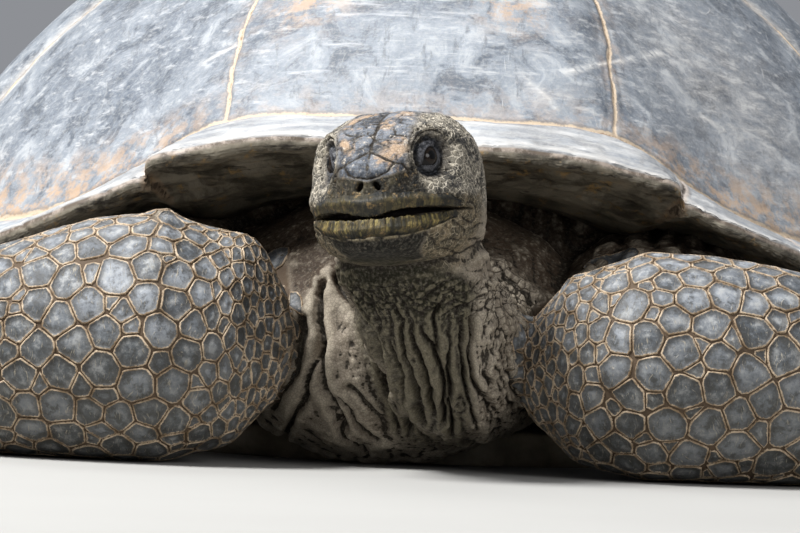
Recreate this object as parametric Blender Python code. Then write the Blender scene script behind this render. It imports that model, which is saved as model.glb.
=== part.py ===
"""Adult giant tortoise of the Aldabra kind, resting on its plastron with the head raised.

Metres, +Z up. The tortoise faces -Y and its left side is at +X. Everything is modelled round the
middle of the shell, and the empty "tortoise" then moves it so that the origin lies under the
middle of the whole animal, at floor level. Neighbouring pieces are parted by thin cuts.
"""

import math

import bmesh
import bpy
import numpy as np
from mathutils import Matrix, Vector

# Driving sizes of the shell
SHELL_HALF_LENGTH = 0.585
SHELL_HALF_WIDTH = 0.470
SHELL_TOP = 0.464
PLAN_POWER = 2.4  # superellipse of the rim seen from above
SHELL_THICKNESS_SHARE = 0.055  # of the distance to the shell's inner centre
SHELL_CENTRE_Z = 0.10
LIP = 0.012  # thickness of the shell's free edge

# Round the shell, by the angle in degrees from the front: height of the free edge, height of the
# seam above the marginal scutes, that seam's place as a share of the rim's radius, how far the
# marginals' underside drops inwards, and the power with which the dome falls to the seam
ROUND_THE_RIM = [
    (0, 0.243, 0.266, 0.855, 0.034, 2.4),
    (8, 0.243, 0.265, 0.850, 0.034, 2.4),
    (15, 0.233, 0.261, 0.842, 0.036, 2.4),
    (19.5, 0.219, 0.252, 0.836, 0.034, 2.4),
    (22, 0.203, 0.241, 0.833, 0.012, 2.4),
    (26, 0.188, 0.220, 0.830, 0.008, 2.4),
    (35, 0.160, 0.190, 0.828, 0.004, 2.4),
    (50, 0.125, 0.172, 0.850, -0.004, 2.45),
    (90, 0.105, 0.190, 0.928, -0.006, 2.55),
    (130, 0.118, 0.190, 0.890, -0.008, 2.8),
    (155, 0.122, 0.196, 0.885, -0.012, 3.1),
    (180, 0.100, 0.190, 0.890, -0.012, 3.2),
]
SHELL_SIDES = 56
TRUNK_SIDES = 32
DOME_RINGS = 5
UNDERSIDE_SHARE = 0.87  # where the marginals' underside ends, as a share of the rim's radius

# Gap left wherever two pieces meet
GAP = 0.0007

# Head, in its own frame: x to the animal's left, y backwards from the tip of the snout and z up
# from the line of the mouth. Per station: y, half width, top, bottom, level of greatest width.
HEAD_STATIONS = [
    (0.000, 0.0100, 0.0260, -0.0230, 0.004),
    (0.003, 0.0180, 0.0310, -0.0290, 0.004),
    (0.010, 0.0285, 0.0390, -0.0320, 0.003),
    (0.022, 0.0395, 0.0500, -0.0340, 0.003),
    (0.038, 0.0495, 0.0615, -0.0355, 0.004),
    (0.056, 0.0572, 0.0690, -0.0370, 0.006),
    (0.078, 0.0602, 0.0730, -0.0380, 0.009),
    (0.100, 0.0602, 0.0735, -0.0385, 0.010),
    (0.125, 0.0545, 0.0630, -0.0375, 0.009),
    (0.148, 0.0455, 0.0500, -0.0350, 0.007),
    (0.165, 0.0370, 0.0390, -0.0300, 0.004),
]
HEAD_SIDES = 20
HEAD_POWER = 2.9
HEAD_TIP = Vector((-0.0245, -0.777, 0.193))
HEAD_YAW = math.radians(-13.5)  # the snout points to the animal's right of straight ahead
HEAD_ROLL = math.radians(-6.5)  # the left side is carried higher
HEAD_PITCH = math.radians(2.0)  # the snout is carried a little high
MOUTH_CORNER_Y = 0.066
JAW_JOINT_Y = 0.088
MOUTH_OPEN = math.radians(7.0)
BEAK_THICKNESS = 0.005
EYE_RADIUS = 0.0130
EYE_PLACE = Vector((0.0355, 0.0415, 0.0355))

# Lengths of tube: per station x, y, z, half width and half height
NECK = [
    (0.008, -0.390, 0.115, 0.080, 0.075),
    (0.026, -0.480, 0.098, 0.072, 0.070),
    (0.040, -0.560, 0.084, 0.056, 0.066),
    (0.031, -0.620, 0.098, 0.053, 0.055),
    (0.011, -0.654, 0.133, 0.057, 0.048),
    (0.000, -0.678, 0.172, 0.059, 0.044),
    (-0.004, -0.690, 0.200, 0.048, 0.040),
]
NECK_BASE = [
    (-0.004, -0.400, 0.115, 0.150, 0.092),
    (-0.012, -0.470, 0.104, 0.148, 0.100),
    (-0.020, -0.530, 0.084, 0.124, 0.088),
    (-0.022, -0.590, 0.066, 0.092, 0.068),
]
TAIL = [
    (0.000, 0.430, 0.100, 0.050, 0.050),
    (0.004, 0.480, 0.080, 0.038, 0.038),
    (0.012, 0.520, 0.048, 0.027, 0.028),
    (0.022, 0.545, 0.018, 0.016, 0.018),
]
# Limbs, for the left side; the right side is mirrored and has its own forearm
UPPER_ARM = [
    (0.200, -0.360, 0.125, 0.078, 0.072),
    (0.180, -0.450, 0.110, 0.075, 0.074),
    (0.150, -0.560, 0.095, 0.070, 0.072),
]
FOREARM = {
    "left": [
        (0.084, -0.594, 0.076, 0.080, 0.086),
        (0.150, -0.598, 0.081, 0.090, 0.088),
        (0.205, -0.596, 0.082, 0.091, 0.088),
        (0.260, -0.586, 0.079, 0.087, 0.085),
        (0.315, -0.568, 0.072, 0.080, 0.079),
        (0.365, -0.545, 0.062, 0.071, 0.068),
        (0.405, -0.520, 0.053, 0.063, 0.057),
    ],
    "right": [
        (0.084, -0.594, 0.086, 0.084, 0.092),
        (0.150, -0.598, 0.090, 0.093, 0.096),
        (0.205, -0.596, 0.088, 0.093, 0.096),
        (0.260, -0.586, 0.081, 0.088, 0.087),
        (0.315, -0.568, 0.072, 0.080, 0.077),
        (0.365, -0.545, 0.062, 0.071, 0.067),
        (0.405, -0.520, 0.053, 0.063, 0.057),
    ],
}
FOREFOOT = [
    (0.392, -0.528, 0.054, 0.060, 0.055),
    (0.428, -0.512, 0.043, 0.068, 0.048),
    (0.464, -0.496, 0.032, 0.064, 0.036),
]
THIGH = [
    (0.170, 0.300, 0.120, 0.085, 0.080),
    (0.235, 0.360, 0.118, 0.085, 0.082),
    (0.290, 0.400, 0.112, 0.078, 0.076),
]
SHANK = [
    (0.276, 0.382, 0.098, 0.056, 0.056),
    (0.292, 0.400, 0.078, 0.064, 0.066),
    (0.308, 0.415, 0.056, 0.067, 0.069),
]
HINDFOOT = [
    (0.312, 0.417, 0.058, 0.068, 0.070),
    (0.316, 0.414, 0.032, 0.072, 0.076),
    (0.318, 0.411, 0.000, 0.074, 0.078),
]
CLAW_LENGTH = 0.036
CLAW_RADIUS = 0.0098
# Claws: centre of the fan, its radius, height, and each claw's heading in degrees (0 = forwards,
# 90 = out to the side)
FOREFOOT_CLAWS = ((0.424, -0.512), 0.062, 0.018, (16, 42, 68, 94, 120))
HINDFOOT_CLAWS = ((0.318, 0.411), 0.071, 0.016, (8, 33, 58, 83))

# Plastron: per station y, half width of its flat floor face, and how much of a bridge rises
# from its side
PLASTRON_STATIONS = [
    (-0.455, 0.060, 0.0),
    (-0.440, 0.105, 0.0),
    (-0.400, 0.150, 0.0),
    (-0.340, 0.190, 0.0),
    (-0.275, 0.225, 0.10),
    (-0.225, 0.250, 0.85),
    (-0.120, 0.262, 1.0),
    (0.000, 0.265, 1.0),
    (0.120, 0.262, 1.0),
    (0.220, 0.250, 0.85),
    (0.265, 0.228, 0.10),
    (0.320, 0.195, 0.0),
    (0.375, 0.150, 0.0),
    (0.400, 0.100, 0.0),
    (0.385, 0.040, 0.0),
]
PLASTRON_THICKNESS = 0.026
BRIDGE_FOOT = (0.352, 0.030)
BRIDGE_TOP = (0.398, 0.092)

COLOURS = {
    "shell": (0.30, 0.33, 0.36),
    "plastron": (0.25, 0.22, 0.17),
    "skin": (0.20, 0.17, 0.13),
    "scaly_skin": (0.24, 0.25, 0.26),
    "beak": (0.28, 0.23, 0.11),
    "eye": (0.012, 0.010, 0.009),
    "claw": (0.10, 0.08, 0.06),
}
ROUGHNESS = {"eye": 0.08, "beak": 0.45, "claw": 0.5}

materials = {}
root = None


def clear_scene():
    for obj in list(bpy.data.objects):
        bpy.data.objects.remove(obj)


def material(kind):
    """The shared Principled material of one kind of surface."""
    if kind not in materials:
        made = bpy.data.materials.new(kind)
        made.use_nodes = True
        shader = made.node_tree.nodes["Principled BSDF"]
        shader.inputs["Base Color"].default_value = (*COLOURS[kind], 1.0)
        shader.inputs["Roughness"].default_value = ROUGHNESS.get(kind, 0.75)
        made.diffuse_color = (*COLOURS[kind], 1.0)
        materials[kind] = made
    return materials[kind]


def spline(stations, at):
    """Smooth values at the places `at`, through stations of (place, value, ...)."""
    table = np.array(stations, float)
    place, values = table[:, 0], table[:, 1:]
    slope = np.gradient(values, place, axis=0)
    at = np.clip(np.atleast_1d(at), place[0], place[-1])
    i = np.clip(np.searchsorted(place, at) - 1, 0, len(place) - 2)
    width = (place[i + 1] - place[i])[:, None]
    u = (at - place[i])[:, None] / width
    begin = (1 + 2 * u) * (1 - u) ** 2 * values[i] + u * (1 - u) ** 2 * width * slope[i]
    end = u**2 * (3 - 2 * u) * values[i + 1] - u**2 * (1 - u) * width * slope[i + 1]
    return begin + end


def new_object(name, points, faces, kind):
    """An object from points and faces, its normals pointing out, under the root empty."""
    mesh = bpy.data.meshes.new(name)
    mesh.from_pydata([tuple(p) for p in points], [], faces)
    obj = bpy.data.objects.new(name, mesh)
    bpy.context.collection.objects.link(obj)
    mesh.materials.append(material(kind))
    tidy_mesh(mesh)
    obj.parent = root
    return obj


def tidy_mesh(mesh):
    """Turns the faces outwards, and keeps the largest body if a cut left crumbs."""
    work = bmesh.new()
    work.from_mesh(mesh)
    islands = []
    unseen = set(work.verts)
    while unseen:
        seed = unseen.pop()
        island, edge_of_island = {seed}, [seed]
        while edge_of_island:
            vert = edge_of_island.pop()
            for edge in vert.link_edges:
                other = edge.other_vert(vert)
                if other in unseen:
                    unseen.remove(other)
                    island.add(other)
                    edge_of_island.append(other)
        islands.append(island)
    keep = max(islands, key=len)
    crumbs = [v for v in work.verts if v not in keep]
    bmesh.ops.delete(work, geom=crumbs, context="VERTS")
    bmesh.ops.recalc_face_normals(work, faces=work.faces)
    work.to_mesh(mesh)
    work.free()
    mesh.shade_smooth()
    mesh.set_sharp_from_angle(angle=math.radians(50))


def ring_faces(rings, sides):
    """Quads between successive rings of `sides` points, and a face over each end."""
    faces = []
    for i in range(rings - 1):
        for j in range(sides):
            k = (j + 1) % sides
            faces.append(
                (i * sides + j, i * sides + k, (i + 1) * sides + k, (i + 1) * sides + j)
            )
    faces.append(tuple(reversed(range(sides))))
    faces.append(tuple(range((rings - 1) * sides, rings * sides)))
    return faces


def round_share(t, start, end):
    """How full a tube is at t, from 0 to 1, where its ends are rounded over start and end."""
    share = 1.0
    if start and t < start:
        share = math.sqrt(max(1 - (1 - t / start) ** 2, 0.0))
    if end and t > 1 - end:
        share = min(share, math.sqrt(max(1 - ((t - 1 + end) / end) ** 2, 0.0)))
    return max(share, 0.12)


def tube_places(count, start, end):
    """Places along a tube, closer together where an end is rounded."""
    places = list(np.linspace(start, 1 - end, count))
    steps = (0.0, 0.1, 0.4)
    before = [start * s for s in steps] if start else []
    after = [1 - end * s for s in reversed(steps)] if end else []
    return before + places + after


def tube(name, stations, kind, rings=8, sides=20, start=0.0, end=0.0, up=(0, 0, 1)):
    """A bent tube of oval sections, flattened where it would reach below the floor."""
    keys = [(i / (len(stations) - 1), *s) for i, s in enumerate(stations)]
    places = tube_places(rings, start, end)
    values = spline(keys, places)
    centres = values[:, :3]
    path = np.gradient(centres, axis=0)
    points = []
    for t, centre, along, half in zip(places, centres, path, values[:, 3:]):
        side = Vector(along).cross(Vector(up)).normalized()
        top = side.cross(Vector(along)).normalized()
        full = round_share(t, start, end)
        for j in range(sides):
            turn = 2 * math.pi * j / sides
            point = Vector(centre) + side * (math.cos(turn) * half[0] * full)
            point += top * (math.sin(turn) * half[1] * full)
            point.z = max(point.z, 0.0)
            points.append(point)
    return new_object(name, points, ring_faces(len(places), sides), kind)


def mirrored(stations):
    return [(-x, *rest) for x, *rest in stations]


def grown_copy(obj, gap):
    """A helper of the same shape, `gap` larger all round."""
    copy = obj.copy()
    copy.data = obj.data.copy()
    copy.hide_render = True
    copy.display_type = "WIRE"
    bpy.context.collection.objects.link(copy)
    work = bmesh.new()
    work.from_mesh(copy.data)
    bmesh.ops.triangulate(work, faces=work.faces)
    work.normal_update()
    moved = [v.co + v.normal * gap * v.calc_shell_factor() for v in work.verts]
    for vert, place in zip(work.verts, moved):
        vert.co = place
    work.to_mesh(copy.data)
    work.free()
    return copy


def boolean(obj, other, operation):
    """Applies one Boolean to obj's mesh."""
    change = obj.modifiers.new("cut", "BOOLEAN")
    change.operation = operation
    change.object = other
    bpy.context.view_layer.update()
    shape = obj.evaluated_get(bpy.context.evaluated_depsgraph_get())
    mesh = bpy.data.meshes.new_from_object(shape)
    obj.modifiers.remove(change)
    obj.data = mesh
    tidy_mesh(mesh)


def part_from(obj, *others, gap=GAP):
    """Cuts obj back to a thin gap from each of the others."""
    for other in others:
        cutter = grown_copy(other, gap)
        boolean(obj, cutter, "DIFFERENCE")
        bpy.data.objects.remove(cutter)


# Shell


def rim_radius(angle):
    along = np.abs(np.cos(angle)) / SHELL_HALF_LENGTH
    across = np.abs(np.sin(angle)) / SHELL_HALF_WIDTH
    return (along**PLAN_POWER + across**PLAN_POWER) ** (-1 / PLAN_POWER)


def shell_point(angle, share, scale=1.0):
    """The shell's outer surface at this angle and share of the rim's radius; a smaller scale
    gives a surface inside it."""
    degrees = abs(math.degrees(math.atan2(math.sin(angle), math.cos(angle))))
    rim_z, seam_z, seam, _, power = spline(ROUND_THE_RIM, degrees)[0]
    if share <= seam:
        z = seam_z + (SHELL_TOP - seam_z) * (1 - (share / seam) ** power)
    else:
        z = rim_z + (seam_z - rim_z) * (1 - (share - seam) / (1 - seam)) ** 1.1
    r = share * float(rim_radius(angle)) * scale
    height = SHELL_CENTRE_Z + (z - SHELL_CENTRE_Z) * scale
    return Vector((r * math.sin(angle), -r * math.cos(angle), height))


def shell_angles(sides=SHELL_SIDES):
    return [2 * math.pi * j / sides for j in range(sides)]


def seam_share(angle):
    degrees = abs(math.degrees(math.atan2(math.sin(angle), math.cos(angle))))
    return float(spline(ROUND_THE_RIM, degrees)[0][2])


def dome_ring(index, scale, reach=1.0, sides=SHELL_SIDES):
    """Ring `index` of the dome, from 1 near the top to DOME_RINGS at the marginals' seam."""
    part = reach * index / DOME_RINGS
    return [shell_point(a, seam_share(a) * part, scale) for a in shell_angles(sides)]


def edge_ring(inward, drop):
    """A ring near the free edge, moved inwards and down from it."""
    ring = []
    for angle in shell_angles():
        lip = shell_point(angle, 1.0)
        outwards = Vector((math.sin(angle), -math.cos(angle), 0))
        ring.append(lip - outwards * inward - Vector((0, 0, drop)))
    return ring


def underside_ring(share, rise):
    """The inner edge of the marginals' underside."""
    ring = []
    for angle in shell_angles():
        degrees = abs(math.degrees(math.atan2(math.sin(angle), math.cos(angle))))
        rim_z, _, _, drop, _ = spline(ROUND_THE_RIM, degrees)[0]
        r = share * float(rim_radius(angle))
        z = rim_z - drop + rise
        ring.append(Vector((r * math.sin(angle), -r * math.cos(angle), z)))
    return ring


def closed_by_points(name, first, rings, last, kind):
    """A body of revolution-like rings, closed by one point at each end."""
    points = [first] + [p for ring in rings for p in ring] + [last]
    faces = []
    sides = len(rings[0])
    for j in range(sides):
        k = (j + 1) % sides
        faces.append((0, 1 + j, 1 + k))
        for i in range(len(rings) - 1):
            a, b = 1 + i * sides, 1 + (i + 1) * sides
            faces.append((a + j, b + j, b + k, a + k))
        end = 1 + (len(rings) - 1) * sides
        faces.append((end + j, len(points) - 1, end + k))
    return new_object(name, points, faces, kind)


def make_carapace():
    inner = 1 - SHELL_THICKNESS_SHARE
    rings = [dome_ring(i, 1.0) for i in range(1, DOME_RINGS + 1)]
    rings.append([shell_point(a, (1 + seam_share(a)) / 2) for a in shell_angles()])
    rings.append(edge_ring(0.0, 0.0))
    rings.append(edge_ring(0.002, LIP))
    rings.append(underside_ring((1 + UNDERSIDE_SHARE) / 2, -0.002))
    rings.append(underside_ring(UNDERSIDE_SHARE, 0.0))
    rings += [dome_ring(i, inner, 0.98) for i in range(DOME_RINGS, 0, -1)]
    top = Vector((0, 0, SHELL_TOP))
    below = shell_point(0, 0, inner)
    return closed_by_points("carapace", top, rings, below, "shell")


def make_trunk():
    """The body inside the shell, with its soft front and back faces."""
    inside = 1 - SHELL_THICKNESS_SHARE - 0.012
    levels = [(0.30, 0.029), (0.56, 0.029), (0.69, 0.060), (0.765, 0.105), (0.785, 0.150)]
    levels.append((0.76, 0.190))
    rings = []
    for share, z in levels:
        ring = []
        for angle in shell_angles(TRUNK_SIDES):
            r = share * float(rim_radius(angle))
            ring.append(Vector((r * math.sin(angle), -r * math.cos(angle), z)))
        rings.append(ring)
    rings += [dome_ring(i, inside, 0.90, TRUNK_SIDES) for i in range(DOME_RINGS, 0, -1)]
    bottom = Vector((0, 0, levels[0][1]))
    return closed_by_points("trunk", bottom, rings, shell_point(0, 0, inside), "skin")


def make_plastron():
    """The belly plate with its flat floor face, and the bridges up to the marginals."""
    points = []
    for y, flat, bridge in PLASTRON_STATIONS:
        foot_x = flat + 0.012 + bridge * (BRIDGE_FOOT[0] - flat - 0.012)
        foot_z = 0.008 + bridge * (BRIDGE_FOOT[1] - 0.008)
        top_x = flat + 0.014 + bridge * (BRIDGE_TOP[0] - flat - 0.014)
        top_z = 0.018 + bridge * (BRIDGE_TOP[1] - 0.018)
        thick = PLASTRON_THICKNESS
        half = [
            (flat, 0.0),
            (foot_x, foot_z),
            (top_x, top_z),
            (top_x - 0.005 - 0.017 * bridge, top_z + 0.006 - 0.002 * bridge),
            (foot_x - 0.014 - 0.006 * bridge, thick + bridge * (foot_z - 0.004)),
            (flat - 0.016, thick),
        ]
        points += [Vector((x, y, z)) for x, z in half]
        points += [Vector((-x, y, z)) for x, z in reversed(half)]
    faces = ring_faces(len(PLASTRON_STATIONS), 12)
    return new_object("plastron", points, faces, "plastron")


# Head


def head_matrix():
    turn = Matrix.Rotation(HEAD_YAW, 4, "Z") @ Matrix.Rotation(-HEAD_PITCH, 4, "X")
    return Matrix.Translation(HEAD_TIP) @ turn @ Matrix.Rotation(HEAD_ROLL, 4, "Y")


def head_shape(name, kind):
    """The whole head with both jaws closed."""
    count = 12
    last = HEAD_STATIONS[-1][0]
    places = [last * (i / (count - 1)) ** 1.5 for i in range(count)]
    points = []
    for y, (half, top, bottom, level) in zip(places, spline(HEAD_STATIONS, places)):
        for j in range(HEAD_SIDES):
            turn = 2 * math.pi * j / HEAD_SIDES
            across, rise = math.cos(turn), math.sin(turn)
            x = half * math.copysign(abs(across) ** (2 / HEAD_POWER), across)
            reach = top - level if rise > 0 else level - bottom
            z = level + reach * math.copysign(abs(rise) ** (2 / HEAD_POWER), rise)
            points.append(head_matrix() @ Vector((x, y, z)))
    return new_object(name, points, ring_faces(count, HEAD_SIDES), kind)


def jaw_block(name, gap, tilt):
    """A block that holds the lower jaw: below the mouth and in front of the jaw's joint."""
    low, front, wide = -0.08, -0.03, 0.09
    rear = JAW_JOINT_Y + gap
    top_rear = gap - 0.0005
    drop = math.tan(tilt) * (MOUTH_CORNER_Y - front)
    outline = [
        (front, low),
        (rear + 0.016, low),
        (rear, top_rear),
        (MOUTH_CORNER_Y, top_rear),
        (front, top_rear - drop),
    ]
    points = [head_matrix() @ Vector((s * wide, y, z)) for s in (-1, 1) for y, z in outline]
    return new_object(name, points, ring_faces(2, len(outline)), "skin")


def beak_band(name, length, levels):
    """A horn sheath round the front of a jaw; levels(share) gives its top and its cutting edge
    at a share of its length from the tip."""
    count = 9
    shares = [(i / (count - 1)) ** 1.6 for i in range(count)]
    sides = [(-1, s) for s in reversed(shares)] + [(1, s) for s in shares]
    points = []
    for side, share in sides:
        y = length * share
        half, slope = (spline(HEAD_STATIONS, y + d)[0][0] for d in (0.0, 0.002))
        normal = Vector((0.002, half - slope, 0)).normalized()
        rim = Vector((half, y, 0))
        top, edge = levels(share)
        thin = BEAK_THICKNESS * (1 - 0.4 * share)
        for offset, z in ((0.0008, top), (0.0006, edge), (-0.35 * thin, edge), (-thin, top)):
            place = rim + normal * offset
            points.append(head_matrix() @ Vector((side * place.x, place.y, z)))
    return new_object(name, points, ring_faces(2 * count, 4), "beak")


def upper_beak_levels(share):
    hook = 0.0050 * math.exp(-((share / 0.12) ** 2))
    return 0.0120 - 0.006 * share, -0.0005 - hook


def lower_beak_levels(share):
    dip = math.tan(MOUTH_OPEN) * (MOUTH_CORNER_Y - 0.056 * share)
    return -0.0195 + 0.006 * share, -0.0015 - dip


def make_eye(side, sign):
    points, faces = [], []
    rows, columns = 6, 12
    centre = Vector((sign * EYE_PLACE.x, EYE_PLACE.y, EYE_PLACE.z))
    for i in range(rows):
        tilt = math.pi * (i + 1) / (rows + 1)
        for j in range(columns):
            turn = 2 * math.pi * j / columns
            flat = math.sin(tilt)
            out = Vector((flat * math.cos(turn), flat * math.sin(turn), math.cos(tilt)))
            points.append(head_matrix() @ (centre + out * EYE_RADIUS))
    faces = ring_faces(rows, columns)
    return new_object(f"eye_{side}", points, faces, "eye")


def make_head():
    """Head, lower jaw, the two horn sheaths and the eyes, parted from each other."""
    head = head_shape("head", "scaly_skin")
    jaw = head_shape("lower_jaw", "scaly_skin")
    hollow = jaw_block("jaw_hollow", GAP, 0.0)
    block = jaw_block("jaw_shape", 0.0, MOUTH_OPEN)
    boolean(head, hollow, "DIFFERENCE")
    boolean(jaw, block, "INTERSECT")
    for helper in (hollow, block):
        bpy.data.objects.remove(helper)
    upper = beak_band("upper_beak", 0.050, upper_beak_levels)
    lower = beak_band("lower_beak", 0.046, lower_beak_levels)
    part_from(head, upper)
    part_from(jaw, lower)
    for side, sign in (("left", 1), ("right", -1)):
        part_from(head, make_eye(side, sign))
    return head, jaw


# Limbs


def claw(name, centre, heading, reach, height, sign):
    """A blunt curved claw that points outwards and a little down."""
    rings, sides = 4, 6
    out = Vector((sign * math.sin(heading), -math.cos(heading), 0))
    side = Vector((0, 0, 1)).cross(out)
    points = []
    for i in range(rings):
        t = i / (rings - 1)
        middle = centre + out * (reach + CLAW_LENGTH * (t - 0.3))
        middle.z = height * (1 - 0.62 * t * t)
        radius = CLAW_RADIUS * (1 - t) ** 0.6 + 0.0018
        for j in range(sides):
            turn = 2 * math.pi * (j + 0.5) / sides
            point = middle + side * (math.cos(turn) * radius)
            point.z = max(point.z + math.sin(turn) * radius * 0.85, 0.0)
            points.append(point)
    return new_object(name, points, ring_faces(rings, sides), "claw")


def make_claws(name, foot, fan, side, sign):
    """Parts a foot from its claws."""
    (x, y), reach, height, headings = fan
    for number, heading in enumerate(headings, 1):
        centre = Vector((sign * x, y, 0))
        made = claw(f"{name}_{side}_{number}", centre, math.radians(heading), reach, height, sign)
        part_from(foot, made)


def make_front_limb(side, sign, neighbours):
    turned = (lambda stations: stations) if sign > 0 else mirrored
    upper = tube(f"upper_arm_{side}", turned(UPPER_ARM), "skin", 4, 14, 0.2, 0.3)
    lower_stations = turned(FOREARM[side])
    lower = tube(f"forearm_{side}", lower_stations, "scaly_skin", 6, 18, 0.25, 0.10)
    foot = tube(f"forefoot_{side}", turned(FOREFOOT), "scaly_skin", 3, 14, 0.3, 0.35)
    part_from(upper, *neighbours)
    part_from(lower, upper, *neighbours)
    part_from(foot, lower)
    make_claws("fore_claw", foot, FOREFOOT_CLAWS, side, sign)


def make_hind_limb(side, sign, neighbours):
    turned = (lambda stations: stations) if sign > 0 else mirrored
    forward = (0, -1, 0)
    thigh = tube(f"thigh_{side}", turned(THIGH), "skin", 4, 14, 0.2, 0.3)
    shank = tube(f"shank_{side}", turned(SHANK), "scaly_skin", 3, 12, 0.3, 0.0, forward)
    foot = tube(f"hindfoot_{side}", turned(HINDFOOT), "scaly_skin", 3, 14, 0.3, 0.0, forward)
    part_from(foot, *neighbours)
    part_from(thigh, foot, *neighbours)
    part_from(shank, foot, thigh, *neighbours)
    make_claws("hind_claw", foot, HINDFOOT_CLAWS, side, sign)


def rest_on_floor_middle():
    """Moves the root so that the origin lies under the middle of the animal."""
    bpy.context.view_layer.update()
    corners = np.array(
        [obj.matrix_world @ v.co for obj in bpy.data.objects if obj.type == "MESH" for v in obj.data.vertices]
    )
    low, high = corners.min(0), corners.max(0)
    root.location = (-(low[0] + high[0]) / 2, -(low[1] + high[1]) / 2, -low[2])


def main():
    global root
    clear_scene()
    root = bpy.data.objects.new("tortoise", None)
    bpy.context.collection.objects.link(root)
    carapace = make_carapace()
    plastron = make_plastron()
    trunk = make_trunk()
    part_from(trunk, plastron)
    base = tube("neck_base", NECK_BASE, "skin", 5, 16, 0.2, 0.35)
    part_from(base, trunk, plastron, carapace)
    head, jaw = make_head()
    neck = tube("neck", NECK, "skin", 8, 16, 0.1, 0.15)
    part_from(neck, head, jaw, base, trunk)
    around = (trunk, plastron, carapace)
    for side, sign in (("left", 1), ("right", -1)):
        make_front_limb(side, sign, (*around, base, neck))
        make_hind_limb(side, sign, around)
    tail = tube("tail", TAIL, "scaly_skin", 5, 10, 0.1, 0.2)
    part_from(tail, *around)
    rest_on_floor_middle()


main()
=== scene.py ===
"""Looks of an adult giant tortoise that rests on its plastron with the head raised.

Metres, +Z up; the tortoise faces -Y and its left side is at +X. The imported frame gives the
solids. One skin replaces every node of flesh, scale plates lie on the limbs and the tail, and
the shell, the beak, the eyes and the claws are pieces of their own.
"""

import math

import bpy
import numpy as np
from mathutils import Matrix, Vector
from mathutils.bvhtree import BVHTree

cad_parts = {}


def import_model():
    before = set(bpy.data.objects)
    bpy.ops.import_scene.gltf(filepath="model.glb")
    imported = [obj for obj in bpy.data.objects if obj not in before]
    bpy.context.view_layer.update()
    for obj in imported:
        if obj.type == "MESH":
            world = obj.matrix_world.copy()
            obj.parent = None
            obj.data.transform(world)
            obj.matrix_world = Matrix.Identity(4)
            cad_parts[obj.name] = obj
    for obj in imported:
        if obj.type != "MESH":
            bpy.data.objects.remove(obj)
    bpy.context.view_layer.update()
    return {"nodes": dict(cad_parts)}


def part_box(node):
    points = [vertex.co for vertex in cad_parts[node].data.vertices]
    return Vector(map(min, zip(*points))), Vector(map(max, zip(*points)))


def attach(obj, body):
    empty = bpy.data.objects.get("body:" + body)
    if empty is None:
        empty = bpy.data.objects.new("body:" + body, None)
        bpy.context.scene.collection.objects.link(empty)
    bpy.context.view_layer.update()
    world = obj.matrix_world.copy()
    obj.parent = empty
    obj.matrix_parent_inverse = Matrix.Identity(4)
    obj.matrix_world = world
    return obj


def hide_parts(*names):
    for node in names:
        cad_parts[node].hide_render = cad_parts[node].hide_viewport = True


# Shell: half length, half width, height, and the superellipse of its rim seen from above
SHELL_HALF_LENGTH = 0.585
SHELL_HALF_WIDTH = 0.470
SHELL_TOP = 0.464
PLAN_POWER = 2.4
SHELL_CENTRE_Z = 0.10
INNER_SCALE = 0.945
LIP = 0.012
UNDERSIDE_SHARE = 0.87
# By degrees from the front: height of the free edge, height of the seam above the marginals,
# its share of the rim's radius, drop of the marginals' underside, power of the dome's fall
ROUND_THE_RIM = [
    (0, 0.243, 0.266, 0.855, 0.034, 2.4),
    (8, 0.243, 0.265, 0.850, 0.034, 2.4),
    (15, 0.233, 0.261, 0.842, 0.036, 2.4),
    (19.5, 0.219, 0.252, 0.836, 0.034, 2.4),
    (22, 0.203, 0.241, 0.833, 0.012, 2.4),
    (26, 0.188, 0.220, 0.830, 0.008, 2.4),
    (35, 0.160, 0.190, 0.828, 0.004, 2.4),
    (50, 0.125, 0.172, 0.850, -0.004, 2.45),
    (90, 0.105, 0.190, 0.928, -0.006, 2.55),
    (130, 0.118, 0.190, 0.890, -0.008, 2.8),
    (155, 0.122, 0.196, 0.885, -0.012, 3.1),
    (180, 0.100, 0.190, 0.890, -0.012, 3.2),
]
# Seams of the shell, in its own plan: half width of the vertebral scutes by y, the seams between
# them, the seams between the costals as y at their two ends, and the marginals' seams in degrees
VERTEBRAL_WIDTH = [
    (-0.60, 0.150),
    (-0.44, 0.150),
    (-0.38, 0.144),
    (-0.27, 0.118),
    (-0.16, 0.172),
    (-0.055, 0.112),
    (0.05, 0.168),
    (0.155, 0.106),
    (0.26, 0.150),
    (0.36, 0.074),
    (0.60, 0.190),
]
VERTEBRAL_SEAMS = (-0.27, -0.055, 0.155, 0.36)
COSTAL_SEAMS = ((-0.085, -0.130), (0.05, 0.055), (0.26, 0.315))
MARGINAL_SEAMS = (2.6, 20.2, 37, 54, 70, 86, 102, 118, 133, 147, 159, 170)
FRONT_NOTCH = 20.2
PLASTRON_SEAMS = (0.13, 0.27, 0.44, 0.66, 0.84)  # shares of its length, from the front
TAN_BLOTCHES = [  # x, y and size
    (-0.090, -0.375, 0.034),
    (0.064, -0.385, 0.028),
    (0.300, 0.100, 0.030),
    (-0.220, 0.280, 0.040),
]

# Long scratches on the front of the dome: width, then x and z seen from in front
SCARS = [
    (0.0014, [(0.106, 0.302), (0.150, 0.314), (0.190, 0.323)]),
    (0.0016, [(0.078, 0.298), (0.104, 0.273)]),
    (0.0010, [(0.215, 0.272), (0.239, 0.264)]),
    (0.0012, [(-0.140, 0.318), (-0.172, 0.300)]),
]

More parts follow.
